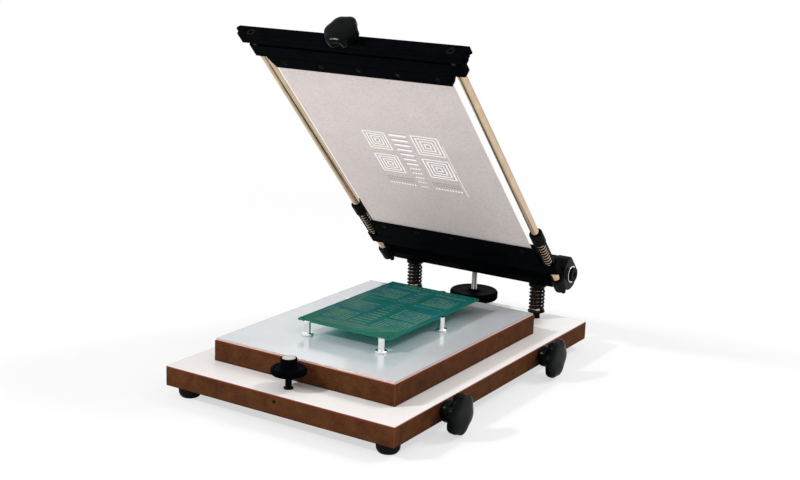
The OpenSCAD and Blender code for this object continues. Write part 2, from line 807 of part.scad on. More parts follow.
module rod_screws() {
    color("#303030") in_frame() for (sx = [-1, 1]) difference() {
        union() {
            rod_cylinder(sx*rod_x, -rod_drop, outer_bar_u + rod_seat - 9, rod_screw_d,
                outer_bar_depth - rod_seat + 9 - 1);
            rod_cylinder(sx*rod_x, -rod_drop, outer_face_u - rod_screw_head_t, rod_screw_head_d - 0.6,
                rod_screw_head_t - 0.6);
        }
        translate([sx*rod_x, -outer_face_u + 2.4, -rod_drop]) rotate([90, 0, 0])
            cylinder(d = 3.4, h = 3, $fn = 6);
    }
}

module collar(side) {
    in_frame() difference() {
        rod_cylinder(side*rod_x, -rod_drop, collar_u, collar_d, collar_l);
        rod_cylinder(side*rod_x, -rod_drop, collar_u - eps, rod_d, collar_l + 2*eps);
        translate([side*rod_x, -collar_u - collar_l/2, -rod_drop]) rotate([0, side*90, 0])
            cylinder(d = 3, h = collar_d);
    }
}

module left_collar() {
    color("#161616") collar(-1);
}

module right_collar() {
    color("#161616") collar(1);
}

module collar_screws() {
    color("#303030") in_frame() for (side = [-1, 1])
        translate([side*rod_x, -collar_u - collar_l/2, -rod_drop]) rotate([0, side*90, 0])
            translate([0, 0, rod_d/2]) difference() {
                cylinder(d = 3, h = (collar_d - rod_d)/2 - 0.4);
                translate([0, 0, (collar_d - rod_d)/2 - 1.4]) cylinder(d = 1.6, h = 2, $fn = 6);
            }
}

module rod_spring(side, turn) {
    in_frame() translate([side*rod_x, -rear_rail_u - rail_depth - move_gap, -rod_drop])
        rotate([90, 0, 0]) rotate(turn)
            coil_spring(rod_spring_l - move_gap, rod_spring_d, rod_wire_d, rod_spring_turns);
}

module left_rod_spring() {
    color("#202020") rod_spring(-1, spring_turn);
}

module right_rod_spring() {
    color("#202020") rod_spring(1, spring_turn);
}

module tension_screw() {
    start_u = front_rail_u + 4;
    color("silver") in_frame() rod_cylinder(0, -rod_drop + tension_axis_w, start_u, tension_screw_d,
        outer_face_u + move_gap + tension_neck_l + tension_knob_t/2 - start_u);
}

module tension_knob() {
    color("#181818") in_frame()
        translate([0, -outer_face_u - move_gap, -rod_drop + tension_axis_w]) rotate([90, 0, 0])
            rotate(20) star_knob(tension_knob_d, tension_knob_t, tension_neck_l, tension_screw_d);
}

// The screw places along a clamp
module at_clamp_screws(u) {
    for (k = [0:clamp_screw_count - 1])
        translate([(k - (clamp_screw_count - 1)/2)*clamp_pitch, -u, -rod_drop - rail_below]) children();
}

// A rail on the rods with the upper jaw of its clamp, reaching from jaw_u for jaw_l
module rail(u, jaw_u, jaw_l, screw_u) {
    low = -rod_drop - rail_below;
    foil_top = -rod_drop - foil_drop + foil_t/2;
    difference() {
        union() {
            cross_bar(rail_w, u, rail_depth, low, rail_above + rail_below);
            cross_bar(jaw_w, jaw_u, jaw_l, foil_top, upper_jaw_t);
        }
        for (sx = [-1, 1])
            rod_cylinder(sx*rod_x, -rod_drop, u - eps, rod_d + 2*running_gap, rail_depth + 2*eps);
        at_clamp_screws(screw_u) cylinder(d = clamp_screw_d, h = foil_top + rod_drop + rail_below + 3);
    }
}

// The lower jaw of a clamp, with countersinks for its screws
module jaw(u, l, screw_u) {
    low = -rod_drop - rail_below;
    height = rail_below - foil_drop - foil_t/2;
    difference() {
        cross_bar(jaw_w, u, l, low, height);
        at_clamp_screws(screw_u) {
            translate([0, 0, -eps]) cylinder(d = clamp_screw_d, h = height + 2*eps);
            translate([0, 0, -eps]) cylinder(d = screw_head_d, h = screw_head_t + eps);
        }
    }
}

module clamp_screws(screw_u) {
    at_clamp_screws(screw_u) difference() {
        union() {
            cylinder(d = screw_head_d - 0.4, h = screw_head_t);
            cylinder(d = clamp_screw_d, h = rail_below - foil_drop + foil_t/2 + 2.8);
        }
        translate([0, 0, -eps]) cylinder(d = 2, h = 0.7, $fn = 6);
    }
}

front_screw_u = front_rail_u - front_jaw_l/2;
rear_screw_u = rear_rail_u + rail_depth + rear_jaw_l - foil_grip/2 - 1;
jaw_gap = 0.2;

module front_rail() {
    color("#141414") in_frame() difference() {
        rail(front_rail_u, front_rail_u - front_jaw_l, front_jaw_l + 1, front_screw_u);
        rod_cylinder(0, -rod_drop + tension_axis_w, front_rail_u + 4 - tension_in - move_gap,
            tension_screw_d + 2*running_gap, rail_depth);
    }
}

module front_jaw() {
    color("#141414") in_frame() jaw(front_rail_u - front_jaw_l, front_jaw_l - jaw_gap, front_screw_u);
}

module front_clamp_screws() {
    color("#303030") in_frame() clamp_screws(front_screw_u);
}

module rear_rail() {
    jaw_start = rear_rail_u + rail_depth;
    color("#141414") in_frame() rail(rear_rail_u, jaw_start - 1, rear_jaw_l + 1, rear_screw_u);
}

module rear_jaw() {
    jaw_start = rear_rail_u + rail_depth + jaw_gap;
    color("#141414") in_frame() jaw(jaw_start, rear_jaw_l - jaw_gap, rear_screw_u);
}

module rear_clamp_screws() {
    color("#303030") in_frame() clamp_screws(rear_screw_u);
}

module stencil() {
    color("#c8bfbb") in_frame() difference() {
        cross_bar(foil_w, foil_rear_u, foil_front_u - foil_rear_u,
            -rod_drop - foil_drop - foil_t/2, foil_t);
        for (u = [front_screw_u, rear_screw_u]) at_clamp_screws(u) cylinder(d = clamp_screw_d, h = 9);
    }
}

// Places its children at each pin, with +Y pointing away from the board
module at_pins() {
    for (place = pin_places) {
        along = place[0];
        edge = place[1];
        reach_x = board_w/2 + pin_outset;
        reach_y = board_d/2 + pin_outset;
        x = edge == 1 ? reach_x : edge == 2 ? -reach_x : along;
        y = edge == -1 ? -reach_y : edge == 3 ? reach_y : along;
        turn = edge == -1 ? 180 : edge == 1 ? -90 : edge == 2 ? 90 : 0;
        translate([board_x + x, board_y + y, table_top]) rotate(turn) children();
    }
}

module support_pins() {
    color("whitesmoke") at_pins() {
        cylinder(d = pin_foot_d, h = pin_foot_t);
        cylinder(d = pin_d, h = pin_h);
        intersection() {
            cylinder(d = pin_d, h = pin_h + pin_ledge);
            translate([-pin_d, move_gap - pin_outset, 0]) cube([2*pin_d, pin_d, pin_h + pin_ledge]);
        }
    }
}

module circuit_board() {
    color("seagreen") translate([board_x - board_w/2, board_y - board_d/2, board_z])
        cube([board_w, board_d, board_t]);
}

echo(post_spring_gap = least_gap(spring_path(post_spring_l, (post_spring_d - post_wire_d)/2,
    post_wire_d, post_spring_turns), post_wire_d));
echo(rod_spring_gap = least_gap(spring_path(rod_spring_l - move_gap, (rod_spring_d - rod_wire_d)/2,
    rod_wire_d, rod_spring_turns), rod_wire_d));

centred() base_board();
centred() base_laminate();
centred() rubber_feet();
centred() foot_screws();
centred() side_bushes();
centred() stop_bush();
centred() locking_screw();
centred() table_board();
centred() table_plate();
centred() guide_blocks();
centred() block_screws();
centred() side_screw_front();
centred() side_knob_front();
centred() side_screw_rear();
centred() side_knob_rear();
centred() stop_stem();
centred() stop_pad();
centred() stop_wheel();
centred() left_post();
centred() right_post();
centred() post_feet();
centred() spring_washers();
centred() left_post_spring();
centred() right_post_spring();
centred() hinge_beam();
centred() post_bushes();
centred() pivot_screws();
centred() pivot_rings();
centred() friction_washers();
centred() height_screw();
centred() height_wheel();
centred() screw_seat();
centred() left_hub();
centred() right_hub();
centred() left_rod();
centred() right_rod();
centred() outer_bar();
centred() rod_screws();
centred() left_collar();
centred() right_collar();
centred() collar_screws();
centred() left_rod_spring();
centred() right_rod_spring();
centred() tension_screw();
centred() tension_knob();
centred() front_rail();
centred() front_jaw();
centred() front_clamp_screws();
centred() rear_rail();
centred() rear_jaw();
centred() rear_clamp_screws();
centred() stencil();
centred() support_pins();
centred() circuit_board();
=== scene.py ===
import json
import math

import bmesh
import bpy
from mathutils import Matrix, Vector

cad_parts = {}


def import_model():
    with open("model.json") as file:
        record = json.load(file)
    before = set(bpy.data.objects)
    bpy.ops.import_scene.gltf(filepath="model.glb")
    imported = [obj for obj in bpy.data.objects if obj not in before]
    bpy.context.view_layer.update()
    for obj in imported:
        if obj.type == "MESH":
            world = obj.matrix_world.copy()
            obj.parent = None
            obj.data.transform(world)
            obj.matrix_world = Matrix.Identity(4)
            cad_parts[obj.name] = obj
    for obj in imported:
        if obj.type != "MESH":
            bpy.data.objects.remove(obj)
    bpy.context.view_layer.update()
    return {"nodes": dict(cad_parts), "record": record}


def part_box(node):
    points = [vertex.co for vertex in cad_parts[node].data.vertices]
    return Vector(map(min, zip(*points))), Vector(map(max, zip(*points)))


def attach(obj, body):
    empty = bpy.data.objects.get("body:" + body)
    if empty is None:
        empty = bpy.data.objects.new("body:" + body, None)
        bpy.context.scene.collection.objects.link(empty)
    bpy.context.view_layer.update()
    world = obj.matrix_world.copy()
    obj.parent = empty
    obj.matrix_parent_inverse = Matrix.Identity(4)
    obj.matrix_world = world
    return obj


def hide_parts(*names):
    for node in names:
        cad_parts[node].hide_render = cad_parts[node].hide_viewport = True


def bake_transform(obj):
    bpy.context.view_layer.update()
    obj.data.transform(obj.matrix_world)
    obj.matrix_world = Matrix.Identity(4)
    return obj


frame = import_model()

# Pieces are made in millimetres about the base board's middle, on the floor, and placed in metres.
MM = 0.001
base_low, base_high = (corner/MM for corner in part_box("base_board"))
MIDDLE = Vector(((base_low.x + base_high.x)/2, (base_low.y + base_high.y)/2, 0))
PLACE = Matrix.Scale(MM, 4) @ Matrix.Translation(MIDDLE)


def span(node):
    """A CAD node's lowest and highest corners in millimetres about the base board's middle."""
    low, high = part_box(node)
    return low/MM - MIDDLE, high/MM - MIDDLE


def middle_of(node):
    low, high = span(node)
    return (low + high)/2


JOINTS = {joint["name"]: joint for joint in frame["record"]["behaviour"]["joints"]}


def joint_place(name):
    """A hinge joint's point in millimetres about the base board's middle."""
    return Vector(JOINTS[name]["pos_m"])/MM - MIDDLE


HINGE = joint_place("frame_tilt")
TILT = math.radians(-JOINTS["frame_tilt"]["range_deg"][0])
SLOPE = Matrix.Translation(HINGE) @ Matrix.Rotation(-TILT, 4, "X")
# Outlines drawn in x and height are pushed out towards the operator, or drawn in y, z along +X.
FORWARD = Matrix.Rotation(math.pi/2, 4, "X")
SIDEWAYS = Matrix(((0, 0, 1, 0), (1, 0, 0, 0), (0, 1, 0, 0), (0, 0, 0, 1)))
UPSIDE_DOWN = Matrix.Rotation(math.pi, 4, "X")


def on_frame(x, u, w):
    """A place on the raised frame: u in front of the hinge axis along the rods, w above it."""
    return SLOPE @ Matrix.Translation((x, -u, w))


# Sizes of the frame that its joints and boxes don't give
ROD_DROP = 14.4
ROD_X = 102
ROD_R = 4
RAIL_ABOVE = 6.2
RAIL_BELOW = 4.4
RAIL_DEPTH = 14
REAR_RAIL_U = 25
FRONT_RAIL_U = 315
OUTER_BAR_U = 331.5
OUTER_FACE_U = 342.5
REAR_JAW_L = 25.5
FRONT_JAW_L = 13.5
JAW_HALF = 94.5
FOIL_DROP = 2.4
FOIL_T = 0.3


# Outlines

def points(*pairs):
    return [Vector(pair) for pair in pairs]


def rectangle(x0, y0, x1, y1):
    return points((x0, y0), (x1, y0), (x1, y1), (x0, y1))


def circle(x, y, r, steps=40):
    return [Vector((x + r*math.cos(2*math.pi*k/steps), y + r*math.sin(2*math.pi*k/steps)))
            for k in range(steps)]


def bore(x, y, r, steps=40):
    return circle(x, y, r, steps)[::-1]


def mirrored(half):
    """An outline from its right half, given from the bottom up."""
    return half + [Vector((-p.x, p.y)) for p in reversed(half)]


def eased(outline, radius, steps=3, closed=True):
    """An outline or profile with its corners rounded off."""
    out = []
    for k, corner in enumerate(outline):
        if not closed and k in (0, len(outline) - 1):
            out.append(corner)
            continue
        before, after = outline[k - 1], outline[(k + 1) % len(outline)]
        reach_a = min(radius, 0.45*(before - corner).length)
        reach_b = min(radius, 0.45*(after - corner).length)
        a = corner + (before - corner).normalized()*reach_a
        b = corner + (after - corner).normalized()*reach_b
        for step in range(steps + 1):
            t = step/steps
            out.append(a.lerp(corner, t).lerp(corner.lerp(b, t), t))
    return out


def moved_in(loop, by):
    """A closed outline moved to the left of its walk, into the material."""
    out = []
    for k, p in enumerate(loop):
        a = (p - loop[k - 1]).normalized()
        b = (loop[(k + 1) % len(loop)] - p).normalized()
        left_a, left_b = Vector((-a.y, a.x)), Vector((-b.y, b.x))
        out.append(p + (left_a + left_b)*(by/(1 + left_a.dot(left_b))))
    return out


# Solids

def slab(outline, depth, edge=0.5, holes=(), start=0.0, place=Matrix.Identity(4), steps=3):
    """A plate from z = start to start + depth whose rims and bores are rounded off."""
    bm = bmesh.new()
    quarter = [math.pi/2*k/steps for k in range(steps + 1)]
    rims = [(edge*(1 - math.sin(t)), start + edge*(1 - math.cos(t))) for t in quarter]
    rims += [(inset, 2*start + depth - z) for inset, z in reversed(rims)]
    caps = [[], []]
    for loop in [outline, *holes]:
        rings = []
        for inset, z in rims:
            rings.append([bm.verts.new((p.x, p.y, z)) for p in moved_in(loop, inset)])
        skin(bm, rings)
        for cap, ring in ((caps[0], rings[0]), (caps[1], rings[-1])):
            cap.extend(bm.edges.get((ring[k - 1], ring[k])) for k in range(len(ring)))
    for cap in caps:
        bmesh.ops.triangle_fill(bm, use_beauty=True, edges=cap)
    bm.transform(place)
    return bm


def skin(bm, rings, closed=False):
    """Walls between rings of vertices; a ring of one vertex is a pole."""
    pairs = list(zip(rings, rings[1:] + rings[:1])) if closed else list(zip(rings, rings[1:]))
    for a, b in pairs:
        count = max(len(a), len(b))
        for k in range(count):
            corners = [a[k - 1], a[k]] if len(a) > 1 else [a[0]]
            corners += [b[k], b[k - 1]] if len(b) > 1 else [b[0]]
            bm.faces.new(corners)


def turned(profile, steps=48, relief=None, closed=False, place=Matrix.Identity(4)):
    """A solid turned about +Z from (radius, height) points, with an optional relief on the radius."""
    bm = bmesh.new()
    rings = []
    for p in profile:
        if p.x < 1e-6:
            rings.append([bm.verts.new((0, 0, p.y))])
            continue
        ring = []
        for k in range(steps):
            angle = 2*math.pi*k/steps
            r = relief(p.x, p.y, angle) if relief else p.x
            ring.append(bm.verts.new((r*math.cos(angle), r*math.sin(angle), p.y)))
        rings.append(ring)
    skin(bm, rings, closed)
    bm.transform(place)
    return bm


def coil(length, outer_d, wire, turns, place, steps=20, sides=10):
    """A compression spring that stands on z = 0."""
    bm = bmesh.new()
    r = (outer_d - wire)/2
    foot = 0.52*wire
    climb = length - 2*foot
    rings = []
    total = int(steps*turns)
    for k in range(total + 1):
        t = k/total
        angle = 2*math.pi*turns*t
        centre = Vector((r*math.cos(angle), r*math.sin(angle), foot + climb*t))
        out = Vector((math.cos(angle), math.sin(angle), 0))
        way = Vector((-math.sin(angle)*r*2*math.pi*turns, math.cos(angle)*r*2*math.pi*turns, climb))
        side = way.normalized().cross(out)
        rings.append([bm.verts.new(centre + wire/2*(out*math.cos(a) + side*math.sin(a)))
                      for a in (2*math.pi*s/sides for s in range(sides))])
    skin(bm, rings)
    bm.faces.new(rings[0])
    bm.faces.new(rings[-1])
    bm.transform(place)
    return bm


def threaded(diameter, pitch, length, place, steps=24, per_turn=5):
    """A screw with a V thread that stands on z = 0."""
    bm = bmesh.new()
    depth = 0.55*pitch
    rings = [[bm.verts.new((0, 0, 0))]]
    count = int(length/pitch*per_turn)
    for row in range(count + 1):
        z = length*row/count
        ring = []
        for k in range(steps):
            angle = 2*math.pi*k/steps
            wave = (z/pitch - k/steps) % 1.0
            r = diameter/2 - depth*abs(2*wave - 1)
            ring.append(bm.verts.new((r*math.cos(angle), r*math.sin(angle), z)))
        rings.append(ring)
    rings.append([bm.verts.new((0, 0, length))])
    skin(bm, rings)
    bm.transform(place)
    return bm


def joined(*parts):
    """Several solids in one mesh."""
    out = bmesh.new()
    for part in parts:
        mesh = bpy.data.meshes.new("scrap")
        part.to_mesh(mesh)
        part.free()
        out.from_mesh(mesh)
        bpy.data.meshes.remove(mesh)
    return out


def shaded(obj, crease=38):
    """Smooth shading that keeps large faces flat and edges over the crease angle sharp."""
    obj.data.shade_smooth()
    obj.data.set_sharp_from_angle(angle=math.radians(crease))
    even = obj.modifiers.new("even_normals", "WEIGHTED_NORMAL")
    even.keep_sharp = True
    even.weight = 80


def piece(name, bm, body, material, slot, *nodes, crease=38):
    """Makes a scene piece of a solid that rides on a body and stands for CAD nodes."""
    bm.transform(PLACE)
    bmesh.ops.recalc_face_normals(bm, faces=bm.faces)
    mesh = bpy.data.meshes.new(name)
    bm.to_mesh(mesh)
    bm.free()
    mesh.materials.append(material)
    obj = bpy.data.objects.new(name, mesh)
    bpy.context.scene.collection.objects.link(obj)
    shaded(obj, crease)
    if body:
        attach(obj, body)
    if nodes:
        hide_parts(*nodes)
    return obj


# Materials

class Nodes:
    """Short ways to build a material's node tree, in the object's own millimetres."""

    def __init__(self, name):
        self.material = bpy.data.materials.new(name)
        self.material.use_nodes = True
        self.tree = self.material.node_tree
        self.surface = self.tree.nodes["Principled BSDF"]
        coordinates = self.tree.nodes.new("ShaderNodeTexCoord")
        self.place = coordinates.outputs["Object"]
        self.where = self.node("SeparateXYZ", Vector=self.place).outputs
        self.facing = self.node("SeparateXYZ", Vector=coordinates.outputs["Normal"]).outputs

    def node(self, kind, **inputs):
        node = self.tree.nodes.new("ShaderNode" + kind)
        for key, value in inputs.items():
            self.feed(node.inputs[key.replace("_", " ")], value)
        return node

    def feed(self, socket, value):
        if isinstance(value, bpy.types.NodeSocket):
            self.tree.links.new(value, socket)
        else:
            socket.default_value = value

    def set(self, **values):
        for key, value in values.items():
            self.feed(self.surface.inputs[key.replace("_", " ")], value)

    def stretched(self, x, y, z):
        return self.node("Mapping", Vector=self.place, Scale=(x, y, z)).outputs["Vector"]

    def noise(self, size, detail=3.0, roughness=0.55, stretch=(1, 1, 1)):
        """Noise whose features are about size millimetres across."""
        scale = 1/(size*MM)
        where = self.stretched(*(scale*s for s in stretch))
        return self.node("TexNoise", Vector=where, Scale=1.0, Detail=detail, Roughness=roughness).outputs["Fac"]

    def ranged(self, value, low, high, to_low=0.0, to_high=1.0):
        node = self.node("MapRange", Value=value)
        for socket, number in zip(("From Min", "From Max", "To Min", "To Max"), (low, high, to_low, to_high)):
            node.inputs[socket].default_value = number
        return node.outputs["Result"]

    def maths(self, operation, a, b):
        node = self.node("Math")
        node.operation = operation
        self.feed(node.inputs[0], a)
        self.feed(node.inputs[1], b)
        return node.outputs[0]

    def border(self, node, width, most=1.0):
        """Rises to its most over the last millimetres before the sides of a flat node's box."""
        low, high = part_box(node)
        out = None
        for axis, sides in (("X", (low.x, high.x)), ("Y", (low.y, high.y))):
            for side, inward in zip(sides, (1, -1)):
                near = self.ranged(self.where[axis], side + inward*width*MM, side + inward*0.5*width*MM, 0.0, most)
                out = near if out is None else self.maths("MAXIMUM", out, near)
        return out

    def mixed(self, factor, a, b):
        node = self.tree.nodes.new("ShaderNodeMix")
        node.data_type = "RGBA"
        self.feed(node.inputs["Factor"], factor)
        self.feed(node.inputs[6], (*a, 1.0) if isinstance(a, tuple) else a)
        self.feed(node.inputs[7], (*b, 1.0) if isinstance(b, tuple) else b)
        return node.outputs[2]

    def bumped(self, height, strength, distance=0.1):
        bump = self.node("Bump", Height=height, Strength=strength, Distance=distance*MM)
        self.set(Normal=bump.outputs["Normal"])


def plain_finish(name, colour, other, size, roughness, metallic=0.0, spread=0.08, grain=0.6, bump=0.12,
                 specular=0.5, coat=0.0, stretch=(1, 1, 1)):
    """A finish whose colour and gloss wander a little, with a fine grain in relief."""
    n = Nodes(name)
    wander = n.noise(size, stretch=stretch)
    n.set(Base_Color=n.mixed(n.ranged(wander, 0.3, 0.7), colour, other),
          Roughness=n.ranged(wander, 0.3, 0.7, roughness - spread/2, roughness + spread/2),
          Metallic=metallic, Specular_IOR_Level=specular, Coat_Weight=coat)
    n.bumped(n.noise(grain, detail=2.0), bump, 0.05)
    return n.material


def fibreboard(name, low, high):
    """Sawn fibreboard: dark mottled brown, redder under the sheet on top, with a painted highlight on its rounded
    vertical corners and painted shade darkening its lower rim.
    """
    n = Nodes(name)
    mottle = n.noise(11.0, detail=5.0, roughness=0.65)
    tone = n.noise(3.0, detail=3.0)
    fibre = n.noise(0.8, detail=4.0, roughness=0.7, stretch=(0.5, 0.5, 1))
    body = n.mixed(n.ranged(mottle, 0.32, 0.7), (0.056, 0.0175, 0.0054), (0.110, 0.039, 0.0130))
    body = n.mixed(n.ranged(tone, 0.5, 0.75, 0.0, 0.4), body, (0.100, 0.029, 0.013))
    body = n.mixed(n.ranged(fibre, 0.54, 0.74, 0.0, 0.35), body, (0.175, 0.086, 0.041))
    body = n.mixed(n.ranged(fibre, 0.46, 0.28, 0.0, 0.6), body, (0.021, 0.0075, 0.0035))
    # Painted highlight: a lighter colour on the rounded vertical corners, where the edges catch the light.
    corner = n.maths("ABSOLUTE", n.maths("MULTIPLY", n.facing["X"], n.facing["Y"]), 0.0)
    body = n.mixed(n.ranged(corner, 0.05, 0.4, 0.0, 0.7), body, (0.20, 0.068, 0.030))
    height = n.where["Z"]
    body = n.mixed(n.ranged(height, (high - 0.9)*MM, (high - 0.3)*MM, 0.0, 0.8), body, (0.185, 0.028, 0.013))
    # Painted shade: darker along the lower rim, under the board's edge.
    body = n.mixed(n.ranged(height, (low + 1.2)*MM, (low + 0.2)*MM, 0.0, 0.7), body, (0.028, 0.008, 0.0035))
    n.set(Base_Color=body, Roughness=n.ranged(mottle, 0.3, 0.7, 0.66, 0.82), Specular_IOR_Level=0.06)
    n.bumped(fibre, 0.3, 0.12)
    return n.material


def laminate_sheet():
    """White melamine on a brown core, which shows as a thin line along its cut edges."""
    n = Nodes("white_laminate")
    cloud = n.noise(40.0, detail=2.0)
    speck = n.noise(1.4, detail=2.0)
    colour = n.mixed(n.ranged(cloud, 0.35, 0.65), (0.875, 0.845, 0.825), (0.905, 0.885, 0.865))
    colour = n.mixed(n.ranged(speck, 0.5, 0.75, 0.0, 0.25), colour, (0.86, 0.80, 0.77))
    colour = n.mixed(n.border("base_laminate", 0.9, 0.55), colour, (0.34, 0.26, 0.22))
    colour = n.mixed(n.ranged(n.facing["Z"], 0.85, 0.5), colour, (0.225, 0.030, 0.016))
    n.set(Base_Color=colour, Roughness=n.ranged(cloud, 0.3, 0.7, 0.36, 0.44), Specular_IOR_Level=0.25)
    n.bumped(speck, 0.05, 0.04)
    return n.material


def ground_plate():
    """Ground steel plate: pale, bluish and half glossy, brushed along its depth, with warm sawn sides and a painted
    shade line along its rim.
    """
    n = Nodes("ground_plate")
    brushing = n.noise(0.5, detail=3.0, stretch=(1.0, 0.02, 1.0))
    grain = n.noise(1.2, detail=3.0)
    cloud = n.noise(30.0, detail=3.0)
    colour = n.mixed(n.ranged(cloud, 0.3, 0.7), (0.67, 0.70, 0.73), (0.73, 0.755, 0.78))
    colour = n.mixed(n.ranged(grain, 0.45, 0.75, 0.0, 0.35), colour, (0.57, 0.60, 0.645))
    # Painted shade: a dark line along the plate's rim.
    colour = n.mixed(n.border("table_plate", 0.8, 0.75), colour, (0.20, 0.18, 0.18))
    side = n.ranged(n.facing["Z"], 0.75, 0.4)
    colour = n.mixed(side, colour, (0.66, 0.47, 0.41))
    n.set(Base_Color=colour, Metallic=n.ranged(side, 0.0, 1.0, 0.3, 0.0),
          Roughness=n.ranged(brushing, 0.3, 0.7, 0.13, 0.22))
    n.bumped(brushing, 0.04, 0.02)
    return n.material


def foil():
    """Thin rolled steel seen as a warm pale grey, with faint rolling marks."""
    n = Nodes("rolled_foil")
    marks = n.noise(1.2, detail=4.0, stretch=(1.0, 0.05, 0.05))
    grain = n.noise(1.7, detail=3.0)
    tint = n.noise(5.0, detail=3.0)
    cloud = n.noise(22.0, detail=4.0)
    colour = n.mixed(n.ranged(cloud, 0.3, 0.7), (0.79, 0.685, 0.66), (0.86, 0.755, 0.725))
    colour = n.mixed(n.ranged(tint, 0.5, 0.66, 0.0, 0.6), colour, (0.79, 0.715, 0.65))
    colour = n.mixed(n.ranged(tint, 0.46, 0.32, 0.0, 0.6), colour, (0.74, 0.65, 0.70))
    colour = n.mixed(n.ranged(grain, 0.48, 0.66, 0.0, 0.75), colour, (0.64, 0.575, 0.61))
    colour = n.mixed(n.ranged(marks, 0.4, 0.7, 0.0, 0.2), colour, (0.72, 0.65, 0.62))
    n.set(Base_Color=colour, Metallic=0.15, Roughness=n.ranged(marks, 0.3, 0.7, 0.42, 0.52), Specular_IOR_Level=0.3)
    n.bumped(marks, 0.05, 0.02)
    return n.material


def ground_rod():
    """Polished rod, tinted tan as a painted reflection of warm surroundings, whose outer end, between the front bar and
    the rail, is painted near black as painted shade.
    """
    n = Nodes("ground_rod")
    wander = n.noise(14.0)
    # Painted shade: the rod turns near black and unmetallic where it runs in the shaded gap between the front rail and
    # the front bar.
    end = on_frame(0, FRONT_RAIL_U + RAIL_DEPTH, -ROD_DROP).translation.z
    black = n.ranged(n.where["Z"], (end - 4)*MM, (end - 2)*MM)
    # Painted reflection: the tan tint stands for warm surroundings mirrored in the chrome.
    colour = n.mixed(n.ranged(wander, 0.3, 0.7), (0.58, 0.42, 0.28), (0.68, 0.52, 0.37))
    n.set(Base_Color=n.mixed(black, colour, (0.004, 0.004, 0.005)), Metallic=n.ranged(black, 0.0, 1.0, 1.0, 0.0),
          Roughness=n.ranged(wander, 0.3, 0.7, 0.13, 0.18), Specular_IOR_Level=0.05)
    n.bumped(n.noise(0.5, detail=2.0), 0.02, 0.05)
    return n.material


def solder_mask(name, dark, light):
    """Green mask over copper: olive in front and bluish in patches, paler on its sawn sides, and brighter green below
    as painted light bounced up from the plate.
    """
    n = Nodes(name)
    low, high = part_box("circuit_board")
    cloud = n.noise(14.0, detail=4.0)
    patch = n.noise(12.0, detail=5.0, roughness=0.7)
    speck = n.noise(1.3, detail=3.0)
    colour = n.mixed(n.ranged(cloud, 0.35, 0.65), dark, light)
    colour = n.mixed(n.ranged(patch, 0.5, 0.62, 0.0, 0.75), colour, (0.008, 0.105, 0.170))
    front = n.ranged(n.where["Y"], low.y + 0.05, low.y, 0.0, 0.4)
    colour = n.mixed(front, colour, (0.040, 0.145, 0.052))
    colour = n.mixed(n.ranged(speck, 0.5, 0.72, 0.0, 0.35), colour, (0.052, 0.190, 0.150))
    colour = n.mixed(n.ranged(speck, 0.45, 0.3, 0.0, 0.4), colour, (0.002, 0.062, 0.045))
    colour = n.mixed(n.ranged(n.facing["Z"], 0.7, 0.2), colour, (0.016, 0.17, 0.125))
    # Painted light: the underside is bright green to stand for light bounced up from the plate and through the board.
    colour = n.mixed(n.ranged(n.facing["Z"], -0.4, -0.8), colour, (0.010, 0.44, 0.37))
    n.set(Base_Color=colour, Roughness=n.ranged(speck, 0.3, 0.7, 0.34, 0.46), Specular_IOR_Level=0.008)
    n.bumped(speck, 0.12, 0.03)
    return n.material


satin_black = plain_finish("satin_black", (0.0010, 0.0014, 0.0022), (0.0020, 0.0026, 0.0036), 12.0, 0.42,
                           spread=0.1, grain=0.25, bump=0.10, specular=0.003)
gloss_black = plain_finish("gloss_black", (0.0028, 0.0036, 0.0037), (0.0044, 0.0052, 0.0052), 8.0, 0.17,
                           spread=0.05, grain=1.4, bump=0.03, specular=0.035)
rubber = plain_finish("rubber", (0.005, 0.005, 0.006), (0.010, 0.010, 0.010), 3.0, 0.7, grain=0.4, bump=0.4,
                      specular=0.06)
# Chrome tinted tan as a painted reflection of warm surroundings.
chrome = plain_finish("polished_rod", (0.56, 0.42, 0.29), (0.66, 0.52, 0.38), 14.0, 0.15, metallic=1.0,
                      spread=0.05, grain=0.5, bump=0.02)
rod_finish = ground_rod()
bright_ring = plain_finish("bright_ring", (0.74, 0.71, 0.66), (0.82, 0.80, 0.76), 6.0, 0.2, metallic=1.0,
                           spread=0.08, grain=0.4, bump=0.04)
zinc = plain_finish("zinc_plated", (0.42, 0.43, 0.42), (0.56, 0.56, 0.53), 3.0, 0.3, metallic=1.0,
                    spread=0.12, grain=0.4, bump=0.1)
dark_steel = plain_finish("blackened_steel", (0.0035, 0.0038, 0.0045), (0.0070, 0.0070, 0.0075), 3.0, 0.4,
                          spread=0.14, grain=0.3, bump=0.15, specular=0.02)
black_wire = plain_finish("black_wire", (0.0035, 0.0035, 0.0040), (0.008, 0.0075, 0.007), 4.0, 0.3, grain=0.3,
                          bump=0.08, specular=0.05)
brass = plain_finish("turned_brass", (0.56, 0.38, 0.14), (0.66, 0.47, 0.20), 3.0, 0.3, metallic=1.0, grain=0.3)
pale_pad = plain_finish("pale_pad", (0.50, 0.43, 0.39), (0.62, 0.55, 0.51), 2.5, 0.5, grain=0.5)
pin_steel = plain_finish("pin_steel", (0.78, 0.79, 0.80), (0.88, 0.88, 0.88), 3.0, 0.14, metallic=1.0,
                         spread=0.05, grain=0.5, bump=0.03)
tinned = plain_finish("tinned_copper", (0.080, 0.125, 0.105), (0.130, 0.165, 0.140), 2.0, 0.4, metallic=0.2, grain=0.4,
                      specular=0.1)
darker_strip_finish = plain_finish("darker_strips", (0.44, 0.37, 0.355), (0.54, 0.46, 0.45), 3.0, 0.5, grain=0.4,
                           specular=0.2)
plate_steel = ground_plate()
white_sheet = laminate_sheet()
foil_steel = foil()
mask = solder_mask("solder_mask", (0.004, 0.112, 0.084), (0.009, 0.152, 0.120))
traces = solder_mask("masked_copper", (0.100, 0.205, 0.165), (0.140, 0.225, 0.190))


# Base

